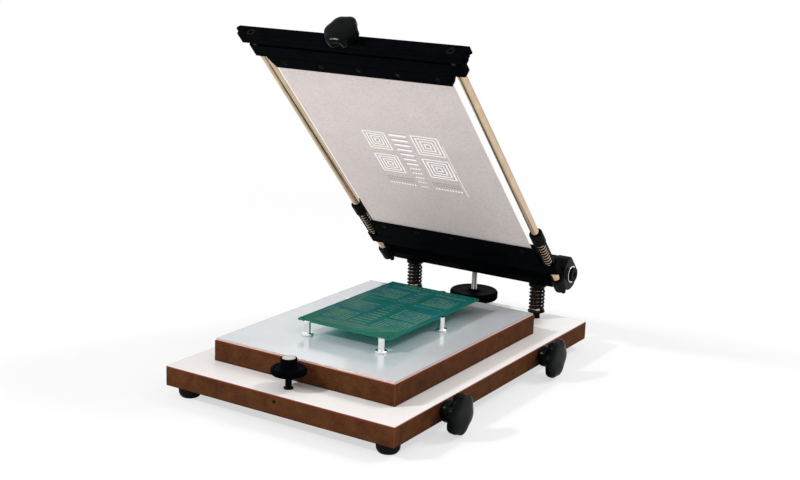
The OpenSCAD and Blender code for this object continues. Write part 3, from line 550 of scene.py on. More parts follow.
def rounded_box(low, high, edge, corner=0.8, holes=()):
    """A board between two corners, with eased corners and rims."""
    outline = eased(rectangle(low.x, low.y, high.x, high.y), corner)
    return slab(outline, high.z - low.z, edge, holes, start=low.z)


def cut(obj, *cutters):
    """Takes solids out of a piece."""
    cutter_mesh = bpy.data.meshes.new("cutters")
    bm = joined(*cutters)
    bm.transform(PLACE)
    bmesh.ops.recalc_face_normals(bm, faces=bm.faces)
    bm.to_mesh(cutter_mesh)
    bm.free()
    cutter = bpy.data.objects.new("cutters", cutter_mesh)
    bpy.context.scene.collection.objects.link(cutter)
    obj.modifiers.clear()
    modifier = obj.modifiers.new("cut", "BOOLEAN")
    modifier.operation = "DIFFERENCE"
    modifier.solver = "EXACT"
    modifier.object = cutter
    graph = bpy.context.evaluated_depsgraph_get()
    result = bpy.data.meshes.new_from_object(obj.evaluated_get(graph), depsgraph=graph)
    obj.modifiers.remove(modifier)
    old, obj.data = obj.data, result
    name = old.name
    bpy.data.meshes.remove(old)
    obj.data.name = name
    bpy.data.objects.remove(cutter)
    bpy.data.meshes.remove(cutter_mesh)
    shaded(obj)


def base_pieces():
    low, high = span("base_board")
    board = piece("base_panel", rounded_box(low, high, 0.35), "base", fibreboard("base_fibreboard", low.z, high.z),
                  "fibreboard", "base_board")
    stop = joint_place("stop_turn")
    hole_z = high.z - 5.4
    front_hole = turned(points((0, -1), (1.7, -1), (1.7, 6), (1.2, 7), (0, 7)), 24,
                        place=Matrix.Translation((stop.x, low.y, hole_z)) @ FORWARD @ UPSIDE_DOWN)
    cut(board, front_hole)
    low, high = span("base_laminate")
    piece("base_sheet", rounded_box(low, high, 0.22), "base", white_sheet, "laminate", "base_laminate")
    for joint in ("front_side_turn", "rear_side_turn"):
        centre = joint_place(joint)
        plate_low, plate_high = span("side_bushes")
        thickness = plate_high.x - plate_low.x
        ring = eased(points((4.1, 0), (7, 0), (7, thickness), (4.1, thickness)), 0.3)
        turn = Matrix.Translation((plate_low.x, centre.y, centre.z)) @ Matrix.Rotation(math.pi/2, 4, "Y")
        name = joint.replace("_turn", "_bush_plate")
        replaced = ["side_bushes"] if joint == "front_side_turn" else []
        piece(name, turned(ring, 40, closed=True, place=turn), "base", dark_steel, "zinc_steel", *replaced)


def feet():
    """Four bowl-shaped rubber feet, hollow under their screws."""
    low, high = span("rubber_feet")
    board_low, _ = span("base_board")
    height = board_low.z
    foot_top_r = 10.5
    profile = points((2.2, height), (foot_top_r, height), (foot_top_r + 0.1, height - 1.6), (9.9, 3.0), (8.2, 0.4),
                     (7.4, 0), (5.4, 0), (4.9, 0.5), (4.8, 5.5), (2.2, 5.5))
    solids = []
    for x in (low.x + foot_top_r, high.x - foot_top_r):
        for y in (low.y + foot_top_r, high.y - foot_top_r):
            solids.append(turned(eased(profile, 0.9), 48, closed=True, place=Matrix.Translation((x, y, 0))))
    piece("feet", joined(*solids), "base", rubber, "rubber", "rubber_feet")


# Table

def table_pieces():
    low, high = span("table_board")
    piece("table_panel", rounded_box(low, high, 0.35), "table", fibreboard("table_fibreboard", low.z, high.z),
          "fibreboard", "table_board")
    low, high = span("table_plate")
    piece("table_top_plate", rounded_box(low, high, 0.3), "table", plate_steel, "plate_steel", "table_plate")


# Knobs

def smooth(value, low, high):
    t = min(1.0, max(0.0, (value - low)/(high - low)))
    return t*t*(3 - 2*t)


def lobed(count, neck_r, head_r, deep, shallow, z_deep, z_shallow):
    """The relief of a lobed head: deep valleys on its neck side, shallow ones on its outer face."""
    def relief(r, z, angle):
        valley = ((1 - math.cos(count*angle))/2)**1.2
        depth = deep + (shallow - deep)*smooth(z, z_deep, z_shallow)
        return r*(1 - depth*valley*smooth(r, neck_r, 0.75*head_r))
    return relief


def star_knob(name, body, node, d, neck_d, neck_l, t, crown, place, turn):
    """A moulded star knob: round neck, ball-ended lobes and a smooth domed face."""
    r = d/2
    top = neck_l + t
    neck = neck_d/2
    rim = top - crown
    dome = [Vector((0.985*r*math.cos(a)**0.6, rim + crown*math.sin(a)))
            for a in (math.pi/2*k/10 for k in range(1, 10))]
    body_profile = points((0, 0.2), (neck - 1.5, 0.2), (neck - 0.3, 0.9), (neck, 2.2), (neck, 0.6*neck_l),
                          (neck + 0.5, neck_l - 0.4), (neck + 1.8, neck_l + 0.1), (0.78*r, neck_l + 0.5),
                          (0.91*r, neck_l + 1.7), (0.98*r, neck_l + 3.4), (r, neck_l + 5), (r, neck_l + 0.6*t),
                          (r, rim - 0.6))
    profile = body_profile + dome + points((0, top))
    relief = lobed(6, neck + 1, r, 0.34, 0.075, neck_l + 0.4*t, rim - 0.3)
    bm = turned(profile, 144, relief, place=place @ Matrix.Rotation(math.radians(turn), 4, "Z"))
    return piece(name, bm, body, gloss_black, "black_plastic", node, crease=60)


def side_knobs():
    for side, turn in (("front", 10), ("rear", 28)):
        low, high = span(f"side_knob_{side}")
        centre = joint_place(f"{side}_side_turn")
        place = Matrix.Translation((low.x, centre.y, centre.z)) @ Matrix.Rotation(math.pi/2, 4, "Y")
        star_knob(f"{side}_star_knob", f"{side}_side_screw", f"side_knob_{side}", 38.2, 20, 8, 11, 3, place, turn)


# Front stop

def front_stop():
    wheel_low, wheel_high = span("stop_wheel")
    stop = middle_of("stop_wheel")
    r = (wheel_high.x - wheel_low.x)/2 - 0.9
    place = Matrix.Translation((stop.x, stop.y, wheel_low.z))
    total = wheel_high.z - wheel_low.z
    boss_r = 7.25
    pad_r = 5.85
    under = 0.8
    thick = 7.2
    profile = points((3.1, 0), (5.2, 0), (8.2, under), (r - 3.4, under + 0.1), (r - 1.2, under + 0.9),
                     (r - 0.1, under + 2.2), (r - 0.1, under + thick - 2.0), (r - 1.3, under + thick - 0.5),
                     (r - 2.8, under + thick - 0.1), (r - 3.4, under + thick - 0.7), (boss_r + 1.6, under + thick - 0.7),
                     (boss_r, under + thick + 0.3), (boss_r, total - 0.5), (boss_r - 0.4, total),
                     (pad_r + 0.2, total), (pad_r, total - 0.3), (pad_r, total - 1.05), (3.1, total - 1.05))
    grip_low, grip_high = under + 2.0, under + thick - 1.8

    def grip(radius, z, angle):
        rim = smooth(radius, r - 1.0, r - 0.2)*smooth(z, grip_low - 0.5, grip_low)*smooth(-z, -grip_high - 0.5, -grip_high)
        return radius - 0.35*rim*abs(math.sin(30*angle))

    bm = turned(eased(profile, 0.5), 240, grip, closed=True, place=place)
    piece("stop_hand_wheel_body", bm, "stop_hand_wheel", satin_black, "black_aluminium", "stop_wheel", crease=50)
    low, high = span("stop_pad")
    pad = points((0, low.z), (pad_r - 0.1, low.z), (pad_r - 0.1, high.z - 0.3), (pad_r - 0.6, high.z), (0, high.z + 0.0))
    piece("stop_top_pad", turned(pad, 48, place=Matrix.Translation((stop.x, stop.y, 0))), "stop", pale_pad,
          "pale_plastic", "stop_pad")
    low, high = span("stop_stem")
    piece("stop_screw", threaded(5.95, 1.0, high.z - low.z, Matrix.Translation((stop.x, stop.y, low.z))),
          "stop", dark_steel, "black_steel", "stop_stem", crease=30)
    low, high = span("stop_bush")
    bush = eased(points((3.06, low.z), (4.25, low.z), (4.25, high.z), (3.06, high.z)), 0.3)
    piece("stop_flange", turned(bush, 40, closed=True, place=Matrix.Translation((stop.x, stop.y, 0))), "base",
          dark_steel, "black_steel", "stop_bush")


# Posts, beam and height screw

def posts():
    for side in ("left", "right"):
        low, high = span(f"{side}_post")
        centre = middle_of(f"{side}_post")
        r = (high.x - low.x)/2
        foot = Matrix.Translation((centre.x, centre.y, 0))
        rod = points((0, low.z), (r - 0.5, low.z), (r, low.z + 0.5), (r, high.z - 1.2), (r - 1.2, high.z), (0, high.z))
        piece(f"{side}_guide_post", turned(rod, 48, place=foot), "base", chrome, "chromed_steel", f"{side}_post")
        low, high = span(f"{side}_post_spring")
        spring = coil(high.z - low.z, 16.2, 2.3, 6.0, foot @ Matrix.Translation((0, 0, low.z)))
        wire = piece(f"{side}_post_coil", spring, None, black_wire, "spring_steel", f"{side}_post_spring", crease=60)
        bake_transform(wire)
    low, high = span("post_feet")
    washer_low, washer_high = span("spring_washers")
    bush_low, _ = span("post_bushes")
    beam_low, beam_high = span("hinge_beam")
    collars, washers, bushes = [], [], []
    for side in ("left", "right"):
        centre = middle_of(f"{side}_post")
        foot = Matrix.Translation((centre.x, centre.y, 0))
        black_foot = points((0, low.z), (4, low.z), (4, high.z - 1.4), (3.7, high.z - 1.0), (4, high.z - 0.6), (4, high.z), (0, high.z))
        collars.append(turned(black_foot, 40, place=foot))
        ring = eased(points((5.02, washer_low.z), (8.7, washer_low.z), (8.7, washer_high.z), (5.02, washer_high.z)), 0.25)
        washers.append(turned(ring, 48, closed=True, place=foot))
        bush = points((5.06, bush_low.z), (8.2, bush_low.z), (9, bush_low.z + 0.8), (9, beam_low.z - 0.6),
                      (8.4, beam_low.z), (7, beam_low.z), (7, beam_high.z - 0.4), (6.6, beam_high.z), (5.06, beam_high.z))
        bushes.append(turned(eased(bush, 0.3), 48, closed=True, place=foot))
    piece("post_foot_pins", joined(*collars), "base", dark_steel, "black_steel", "post_feet")
    piece("spring_seats", joined(*washers), "base", dark_steel, "black_steel", "spring_washers")
    piece("beam_bushes", joined(*bushes), "beam", gloss_black, "black_plastic", "post_bushes")


def metres(x, y, z):
    return tuple((Vector((x, y, z)) + MIDDLE)*MM)


def beam():
    low, high = span("hinge_beam")
    half = (high.z - low.z)/2
    flat = half - 8
    outline = points((-flat, -half), (flat, -half), (half, -flat), (half, flat), (flat, half), (-flat, half),
                     (-half, flat), (-half, -flat))
    bar = slab(eased(outline, 0.8), high.x - low.x, 0.5, start=low.x,
               place=Matrix.Translation((0, HINGE.y, HINGE.z)) @ SIDEWAYS)
    obj = piece("hinge_bar", bar, "beam", satin_black, "black_aluminium", "hinge_beam")
    cutters = []
    for side in ("left", "right"):
        centre = middle_of(f"{side}_post")
        cutters.append(turned(points((0, low.z - 1), (7.02, low.z - 1), (7.02, high.z + 1), (0, high.z + 1)), 48,
                              place=Matrix.Translation((centre.x, centre.y, 0))))
    screw = middle_of("height_screw")
    cutters.append(turned(points((0, low.z - 1), (3.1, low.z - 1), (3.1, high.z + 1), (0, high.z + 1)), 32,
                          place=Matrix.Translation((screw.x, screw.y, 0))))
    cut(obj, *cutters)


def height_drive():
    low, high = span("height_screw")
    centre = middle_of("height_screw")
    foot = Matrix.Translation((centre.x, centre.y, 0))
    piece("lifting_screw", threaded(5.95, 1.0, high.z - low.z, foot @ Matrix.Translation((0, 0, low.z))),
          "height_drive", zinc, "zinc_steel", "height_screw", crease=30)
    low, high = span("height_wheel")
    r = (high.x - low.x)/2
    wheel_top = high.z - 1.2
    wheel_low = wheel_top - 9
    knurl = 0.8
    cells = 72

    def knurled(radius, z, angle):
        """Two crossing sets of slanting grooves on the rim."""
        rim = smooth(radius, r - 1.2, r - 0.1)
        slant = 1.5*(z - wheel_low)/9*math.pi
        first = abs(math.sin(cells/2*angle + slant))
        second = abs(math.sin(cells/2*angle - slant))
        return radius - knurl*rim*(1 - min(first, second))

    rim = [Vector((r, wheel_low + 1.4 + 6.2*k/10)) for k in range(11)]
    profile = points((3.02, low.z), (7.6, low.z), (8, low.z + 0.4), (8, wheel_low), (r - 3, wheel_low),
                     (r - 1.2, wheel_low + 0.3))
    profile += rim
    profile += points((r - 1.2, wheel_top - 0.3), (r - 2.6, wheel_top), (r - 5, wheel_top - 0.5), (10, wheel_top - 0.5),
                      (8, wheel_top), (7, wheel_top + 0.2), (6.6, high.z), (3.02, high.z))
    piece("knurled_wheel", turned(profile, 432, knurled, closed=True, place=foot), "height_drive", satin_black,
          "black_aluminium", "height_wheel", crease=50)
    low, high = span("screw_seat")
    seat = eased(points((3.06, low.z), (7, low.z), (7, high.z), (3.06, high.z)), 0.3)
    piece("brass_seat", turned(seat, 40, closed=True, place=foot), "base", brass, "brass", "screw_seat")


# Hinge

def hinge_side(sign):
    """A matrix that sets a solid drawn along +Z out along the hinge axis, to the right or the left."""
    turn = Matrix.Rotation(sign*math.pi/2, 4, "Y")
    return Matrix.Translation(HINGE) @ turn


def hinges():
    screws, rings, washers = [], [], []
    ring_low, ring_high = span("pivot_rings")
    head_low, head_high = span("pivot_screws")
    hub_in, hub_out = 95.0, 109.0
    head_x = ring_high.x
    hexagon = [Vector((2.8*math.cos(math.pi/3*k), 2.8*math.sin(math.pi/3*k))) for k in range(6)]
    for sign, side in ((-1, "left"), (1, "right")):
        outward = hinge_side(sign)
        head = slab(circle(0, 0, 7.2, 44), 2.6, 0.5, [hexagon[::-1]], start=head_x, place=outward)
        shank = turned(points((0, 81), (3.9, 81), (3.9, head_x + 1.2), (0, head_x + 1.2)), 32, place=outward)
        screws.append(joined(head, shank))
        ring = eased(points((4.05, hub_out), (8.5, hub_out), (8.5, head_x), (4.05, head_x)), 0.4)
        rings.append(turned(ring, 56, closed=True, place=outward))
        washer = eased(points((4.05, 93), (11, 93), (11, 94.95), (4.05, 94.95)), 0.3)
        washers.append(turned(washer, 56, closed=True, place=outward))
        hub(sign, side, hub_in + 0.05, hub_out - 0.05)
    piece("pivot_bolts", joined(*screws), "beam", dark_steel, "black_steel", "pivot_screws")
    piece("bright_rings", joined(*rings), "beam", bright_ring, "chromed_steel", "pivot_rings")
    piece("dark_washers", joined(*washers), "beam", dark_steel, "black_steel", "friction_washers")


# The hub's outline about the hinge axis while the frame is raised: back and up are positive.
HUB_CORNERS = ((-17, 0), (-15.5, -8), (-9.5, -14.5), (-1, -16.3), (7.5, -14), (13, -8), (13.6, 3.4), (-1.2, 18.8),
               (-9.5, 16.6), (-15.2, 9.5))


def hub(sign, side, inner, outer):
    """A flattened hinge hub, with the socket that holds the end of a rod and a grub screw below."""
    outline = eased(points(*HUB_CORNERS), 3.2, steps=6)
    start = inner if sign > 0 else -outer
    disc = slab(outline, outer - inner, 1.1, [bore(0, 0, 4.1)], start=start,
                place=Matrix.Translation(HINGE) @ SIDEWAYS, steps=5)
    socket = points((4.02, -5), (6.5, -5), (6.5, 10.0), (5.9, 10.8), (4.02, 10.8))
    boss = turned(eased(socket, 0.5), 48, closed=True, place=on_frame(sign*ROD_X, 0, -ROD_DROP) @ FORWARD)
    grub = eased(points((0.5, 14), (2.4, 14), (2.4, 19.6), (1.5, 21), (0.5, 21)), 0.5)
    screw = turned(grub, 32, closed=True,
                   place=Matrix.Translation(HINGE + Vector((sign*ROD_X, -0.5, 0))) @ UPSIDE_DOWN)
    piece(f"{side}_hinge_hub", joined(disc, boss, screw), "frame", gloss_black, "black_plastic", f"{side}_hub",
          crease=50)


# Frame

def rods():
    for sign, side in ((-1, "left"), (1, "right")):
        length = OUTER_BAR_U + 6
        rod = points((0, -3), (ROD_R - 0.5, -3), (ROD_R, -2.5), (ROD_R, length - 0.5), (ROD_R - 0.5, length), (0, length))
        piece(f"{side}_slide_rod", turned(rod, 48, place=on_frame(sign*ROD_X, 0, -ROD_DROP) @ FORWARD), "frame",
              rod_finish, "chromed_steel", f"{side}_rod")
        collar_u = REAR_RAIL_U + RAIL_DEPTH + 35
        sleeve = points((4.02, 0), (6.1, 0), (6.5, 0.4), (6.5, 14.1), (6.1, 14.5), (4.9, 14.5), (4.02, 13.7))
        collar = turned(eased(sleeve, 0.2), 48, closed=True,
                        place=on_frame(sign*ROD_X, collar_u, -ROD_DROP) @ FORWARD)
        piece(f"{side}_stop_collar", collar, "frame", dark_steel, "black_steel", f"{side}_collar")
        start = REAR_RAIL_U + RAIL_DEPTH
        place = on_frame(sign*ROD_X, start + 0.3, -ROD_DROP) @ FORWARD
        spring = coil(34.7, 11.6, 1.25, 8.5, place)
        wire = piece(f"{side}_rod_coil", spring, None, black_wire, "spring_steel", f"{side}_rod_spring", crease=60)
        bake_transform(wire)


def across(outline, u, depth, edge=0.5, holes=()):
    """A bar across the frame, from its outline in x and height above the hinge, starting at u."""
    return slab(outline, depth, edge, holes, place=on_frame(0, u, 0) @ FORWARD)


def rod_bores(r):
    return [bore(sign*ROD_X, -ROD_DROP, r) for sign in (-1, 1)]


def outer_bar():
    low, high = -ROD_DROP - RAIL_BELOW, -ROD_DROP + RAIL_ABOVE
    tension = bore(0, -ROD_DROP + (RAIL_ABOVE - RAIL_BELOW)/2, 4.06)
    depth = OUTER_FACE_U - OUTER_BAR_U
    ends = points((114.0, low), (115.5, low + 1.4), (115.5, high - 5.4), (114.6, high - 4.6), (114.6, high - 1.0),
                  (113.6, high))
    lip_ends = points((108, high - 5.2), (117.8, high - 5.2), (119.5, high - 3.6), (119.5, high - 2.4), (117.4, high))
    lip_depth = 5.2
    back = across(eased(mirrored(ends), 0.4), OUTER_BAR_U, depth - lip_depth, 0.4,
                  [*rod_bores(ROD_R + 0.01), tension])
    front_ends = ends[:2] + points((115.5, high - 5.2), (117.8, high - 5.2), (119.5, high - 3.6), (119.5, high - 2.4),
                                   (117.4, high))
    front = across(eased(mirrored(front_ends), 0.5), OUTER_FACE_U - lip_depth, lip_depth, 0.45,
                   [*rod_bores(4.2), tension])
    piece("front_cross_bar", joined(back, front), "frame", satin_black, "black_aluminium", "outer_bar")


def screw_head(x, y, z, r, t, place):
    """A low socket head with a hexagonal recess, whose face looks down -Z."""
    hexagon = [Vector((0.5*r*math.cos(math.pi/3*k) + x, 0.5*r*math.sin(math.pi/3*k) + y)) for k in range(6)]
    return slab(circle(x, y, r, 32), t, 0.25, [hexagon[::-1]], start=z, place=place)


def clamp(name, rail_u, jaw_u, jaw_l, screw_u):
    """A rail on the rods with its upper jaw, its lower jaw and the screws between them."""
    low, high = -ROD_DROP - RAIL_BELOW, -ROD_DROP + RAIL_ABOVE
    foil_top = -ROD_DROP - FOIL_DROP + FOIL_T/2
    lug = points((107.6, low), (109, low + 1.2), (109, high - 2.4), (107.0, high))
    rail = across(eased(mirrored(lug), 0.6), rail_u, RAIL_DEPTH, 0.55, rod_bores(ROD_R + 0.05))
    reach = jaw_u + jaw_l + 0.6 if name == "front" else jaw_u + jaw_l
    start = jaw_u if name == "front" else jaw_u - 0.6
    corner = 3.2
    plan = points((-JAW_HALF, -reach), (JAW_HALF, -reach), (JAW_HALF, -start), (-JAW_HALF, -start))
    if name == "front":
        plan = points((-JAW_HALF, -reach), (JAW_HALF, -reach), (JAW_HALF, -start - 7), (JAW_HALF - corner, -start),
                      (corner - JAW_HALF, -start), (-JAW_HALF, -start - 7))
    upper = slab(eased(plan, 0.5), 4.2, 0.5, start=foil_top, place=SLOPE)
    piece(f"{name}_clamp_rail", joined(rail, upper), "carriage", satin_black, "black_aluminium", f"{name}_rail")
    height = RAIL_BELOW - FOIL_DROP - FOIL_T/2
    screws_x = [(k - 2)*(2*JAW_HALF - 30)/4 for k in range(5)]
    sinks = [bore(x, -screw_u, 3.0, 32) for x in screws_x]
    lower_plan = points((-JAW_HALF, -jaw_u - jaw_l + 0.2), (JAW_HALF, -jaw_u - jaw_l + 0.2), (JAW_HALF, -jaw_u),
                        (-JAW_HALF, -jaw_u))
    if name == "front":
        lower_plan = points((-JAW_HALF, -jaw_u - jaw_l + 0.2), (JAW_HALF, -jaw_u - jaw_l + 0.2),
                            (JAW_HALF, -jaw_u - 7), (JAW_HALF - corner, -jaw_u), (corner - JAW_HALF, -jaw_u),
                            (-JAW_HALF, -jaw_u - 7))
    if name == "rear":
        lower_plan = [p - Vector((0, 0.2 if p.y > -jaw_u - 1 else 0)) for p in lower_plan]
    lower = slab(eased(lower_plan, 0.5), height, 0.35, sinks, start=low, place=SLOPE)
    piece(f"{name}_clamp_jaw", lower, "carriage", satin_black, "black_aluminium", f"{name}_jaw")
    heads = joined(*[screw_head(x, -screw_u, low + 0.15, 2.7, 1.0, SLOPE) for x in screws_x])
    piece(f"{name}_clamp_bolts", heads, "carriage", dark_steel, "black_steel", f"{name}_clamp_screws")


FRONT_SCREW_U = FRONT_RAIL_U - FRONT_JAW_L/2
REAR_SCREW_U = REAR_RAIL_U + RAIL_DEPTH + REAR_JAW_L - 11.5/2 - 1


def clamps():
    clamp("front", FRONT_RAIL_U, FRONT_RAIL_U - FRONT_JAW_L, FRONT_JAW_L, FRONT_SCREW_U)
    clamp("rear", REAR_RAIL_U, REAR_RAIL_U + RAIL_DEPTH, REAR_JAW_L, REAR_SCREW_U)


def tension_drive():
    axis_w = -ROD_DROP + (RAIL_ABOVE - RAIL_BELOW)/2
    start = FRONT_RAIL_U + 4
    length = OUTER_FACE_U + 0.3 + 2 + 6.5 - start
    place = on_frame(0, start, axis_w) @ FORWARD
    piece("pull_screw", threaded(7.95, 1.25, length, place), "tension_drive", dark_steel, "zinc_steel", "tension_screw",
          crease=30)
    star_knob("pull_star_knob", "tension_drive", "tension_knob", 31.5, 19, 2, 13, 3,
              on_frame(0, OUTER_FACE_U + 0.3, axis_w) @ FORWARD, 5)


# Stencil and circuit board, which share one pattern

def nested(x0, y0, x1, y1, width=1.55, inset=0.0, bridge=0.25, rings=4):
    """Nested square rings, each of four bars with bridges left at the corners."""
    bars = []
    step_x, step_y = (x1 - x0)/2/rings, (y1 - y0)/2/rings
    for ring in range(rings):
        a, b = x0 + ring*step_x + inset, y0 + ring*step_y + inset
        c, d = x1 - ring*step_x - inset, y1 - ring*step_y - inset
        bars += [(a, b, c - width - bridge, b + width), (c - width, b, c, d - width - bridge),
                 (a + width + bridge, d - width, c, d), (a, b + width + bridge, a + width, d)]
    return bars


def ladder(x0, x1, y0, y1, rungs, shrink, width):
    """Parallel bars that grow shorter and thinner from y0 to y1."""
    bars = []
    for k in range(rungs):
        t = k/(rungs - 1)
        y = y0 + (y1 - y0)*t
        half = (x1 - x0)/2*(1 - shrink*t)
        thick = width*(1 - 0.4*t)
        bars.append(((x0 + x1)/2 - half, y, (x0 + x1)/2 + half, y + thick))
    return bars


def split(bar, count, gap):
    """A bar cut into pads side by side."""
    x0, y0, x1, y1 = bar
    pitch = (x1 - x0 + gap)/count
    return [(x0 + k*pitch, y0, x0 + (k + 1)*pitch - gap, y1) for k in range(count)]


SQUARES = ((-37, 195, -12, 221), (-37.5, 160, -11.5, 187), (16, 194.5, 45, 222.5), (15.5, 160, 44.5, 188.5))
RUNGS = ladder(-8, 11, 217.5, 141, 12, 0.6, 2.7)
WHOLE_RUNGS = 7
PAD_ROWS = ((-36.5, 141, -8, 143.2), (14, 141, 43, 143.2))


def print_pattern():
    """Rectangles in x and in distance from the hinge axis, as the stencil lies when it's down."""
    bars = [bar for square in SQUARES for bar in nested(*square)]
    bars += RUNGS[:WHOLE_RUNGS]
    for rung in RUNGS[WHOLE_RUNGS:]:
        bars += split(rung, 4, 0.7)
    for row in PAD_ROWS:
        bars += split(row, 10, 1.4)
    bars += [(46.6, 136, 47.4, 170), (46.6, 172, 47.4, 212)]
    return bars


def darker_strips():
    """Darker strips beside the openings, and rows of them above the pad rows."""
    bars = [bar for square in SQUARES for bar in nested(*square, width=0.7, inset=1.9, bridge=0.0)]
    bars += [(x0 - 0.3, y1 + 0.5, x1 + 0.3, y1 + 1.5) for x0, y0, x1, y1 in RUNGS[:WHOLE_RUNGS]]
    for row in PAD_ROWS:
        x0, y0, x1, y1 = row
        for lift in (5.5, 9.5):
            bars += split((x0 - 0.8, y0 + lift, x1 + 0.4, y0 + lift + 2.4), 11, 1.1)
    return bars


def stencil():
    low_u, high_u = REAR_RAIL_U + RAIL_DEPTH + REAR_JAW_L - 11.5, FRONT_RAIL_U - FRONT_JAW_L + 11.5
    half = JAW_HALF - 3
    outline = rectangle(-half, -high_u, half, -low_u)
    holes = [rectangle(x0, -u1, x1, -u0)[::-1] for x0, u0, x1, u1 in print_pattern()]
    under = -ROD_DROP - FOIL_DROP - FOIL_T/2
    sheet = slab(outline, FOIL_T, 0.03, holes, start=under, place=SLOPE, steps=1)
    piece("stencil_foil", sheet, "carriage", foil_steel, "foil_steel", "stencil", crease=20)
    marks = boxes([(x0, -u1, x1, -u0) for x0, u0, x1, u1 in darker_strips()], under + 0.01, -0.03)
    marks.transform(SLOPE)
    piece("stencil_darker_bands", marks, "carriage", darker_strip_finish, "foil_steel", crease=20)


def boxes(rectangles, z, height):
    """Thin boxes on a surface, as one solid."""
    bm = bmesh.new()
    for x0, y0, x1, y1 in rectangles:
        lower = [bm.verts.new((p.x, p.y, z)) for p in rectangle(x0, y0, x1, y1)]
        inset = min(0.12, 0.2*(x1 - x0), 0.2*(y1 - y0))
        upper = [bm.verts.new((p.x, p.y, z + height)) for p in rectangle(x0 + inset, y0 + inset, x1 - inset, y1 - inset)]
        skin(bm, [lower, upper])
        bm.faces.new(upper)
        bm.faces.new(lower)
    return bm


def circuit_board():
    low, high = span("circuit_board")
    inset = 4
    holes = [bore(x, y, 1.6, 24) for x in (low.x + inset, high.x - inset) for y in (low.y + inset, high.y - inset)]
    outline = eased(rectangle(low.x, low.y, high.x, high.y), 1.0)
    board = slab(outline, high.z - low.z, 0.12, holes, start=low.z)
    piece("green_board", board, "work", mask, "circuit_laminate", "circuit_board", crease=25)
    main = [(x0, HINGE.y - u1, x1, HINGE.y - u0) for x0, u0, x1, u1 in print_pattern()]
    centre = (low.x + high.x)/2
    rear = nested(-37, 26, -12, 52) + nested(16, 26, 44, 53) + ladder(-7, 9, 22, 60, 7, 0.4, 2.6)
    for x0, x1 in ((-38, -8), (12, 44)):
        rear += split((x0, 60, x1, 65), 10, 1.4)
    runs = []
    for k in range(9):
        y = low.y + 6.5 + 1.5*k
        runs.append((low.x + 9 + 1.2*k, y, high.x - 9 - 2.0*(8 - k), y + 0.7))
    for k in range(6):
        x = low.x + 3.2 + 1.3*k
        runs.append((x, low.y + 26 + 2*k, x + 0.6, high.y - 12 - 3*k))
    piece("board_traces", boxes(main + rear + runs, high.z - 0.004, 0.07), "work", traces, "circuit_laminate", crease=20)
    pads = []
    for k in range(12):
        pads.append((centre - 30 + 5*k, high.y - 8, centre - 27.6 + 5*k, high.y - 4))
    for k in range(10):
        pads.append((high.x - 7, low.y + 40 + 4*k, high.x - 4, low.y + 41.6 + 4*k))
    piece("board_pads", boxes(pads, high.z - 0.004, 0.09), "work", tinned, "circuit_laminate", crease=20)


def pins():
    """Magnetic pins with a round foot; each one's upper end has a step for the board's edge."""
    board_low, board_high = span("circuit_board")
    low, high = span("support_pins")
    places = []
    out = 1.0
    for x in (-38, 42):
        places.append((middle_of("circuit_board").x + x, board_low.y - out, (0, -1)))
    centre = middle_of("circuit_board")
    places.append((board_high.x + out, centre.y + 7, (1, 0)))
    places.append((board_low.x - out, centre.y + 4, (-1, 0)))
    places.append((centre.x + 8, board_high.y + out, (0, 1)))
    solids = []
    for x, y, way in places:
        stand = Matrix.Translation((x, y, 0))
        r = 3.0
        foot = points((0, low.z), (5.2, low.z), (5.75, low.z + 0.5), (5.75, low.z + 1.6), (5.2, low.z + 2.2),
                      (r + 0.3, low.z + 2.3), (r, low.z + 2.7), (r, board_low.z), (0, board_low.z))
        solids.append(turned(foot, 48, place=stand))
        ledge = []
        for k in range(-10, 11):
            angle = math.radians(k*6.4)
            ledge.append(Vector((r*math.cos(angle), r*math.sin(angle))))
        direction = Matrix.Rotation(math.atan2(way[1], way[0]), 4, "Z")
        edge = -out + 0.3
        ledge = [Vector((max(p.x, edge), p.y)) for p in ledge]
        lip = [p for p in ledge]
        chord = math.sqrt(r*r - edge*edge)
        lip = [Vector((r*math.cos(a), r*math.sin(a))) for a in
               (math.atan2(chord, edge)*(k/12) for k in range(-12, 13))]
        solids.append(slab(lip, 1.2, 0.15, start=board_low.z - 0.05, place=stand @ direction))
    piece("magnetic_pins", joined(*solids), "work", pin_steel, "chromed_steel", "support_pins", crease=30)


# CAD nodes that stay as they are, with a finish of their own

KEPT = {
    "foot_screws": zinc, "locking_screw": dark_steel, "guide_blocks": brass, "block_screws": zinc,
    "side_screw_front": zinc, "side_screw_rear": zinc, "rod_screws": dark_steel, "collar_screws": dark_steel,
}


def finish_kept_nodes():
    for node, material in KEPT.items():
        mesh = frame["nodes"][node].data
        mesh.materials.clear()
        mesh.materials.append(material)


# Floor, light and camera

def floor():
    n = Nodes("floor")
    tree = n.tree
    n.set(Base_Color=(0.93, 0.93, 0.93, 1), Roughness=0.9, Specular_IOR_Level=0.0)
    path = n.node("LightPath")
    glow = n.node("Emission", Color=(1, 1, 1, 1), Strength=1.0)
    mix = tree.nodes.new("ShaderNodeMixShader")
    distance = n.node("VectorMath", Vector=n.place)
    distance.operation = "LENGTH"
    near, far = 0.35, 1.1
    whiter = n.ranged(distance.outputs["Value"], near, far, 0.62, 1.0)
    share = n.maths("MULTIPLY", path.outputs["Is Camera Ray"], whiter)
    tree.links.new(share, mix.inputs[0])
    tree.links.new(n.surface.outputs[0], mix.inputs[1])
    tree.links.new(glow.outputs[0], mix.inputs[2])
    tree.links.new(mix.outputs[0], tree.nodes["Material Output"].inputs[0])
    mesh = bpy.data.meshes.new("floor")
    half = 8.0
    mesh.from_pydata([(-half, -half, 0), (half, -half, 0), (half, half, 0), (-half, half, 0)], [], [(0, 1, 2, 3)])
    mesh.materials.append(n.material)
    obj = bpy.data.objects.new("floor", mesh)
    bpy.context.scene.collection.objects.link(obj)


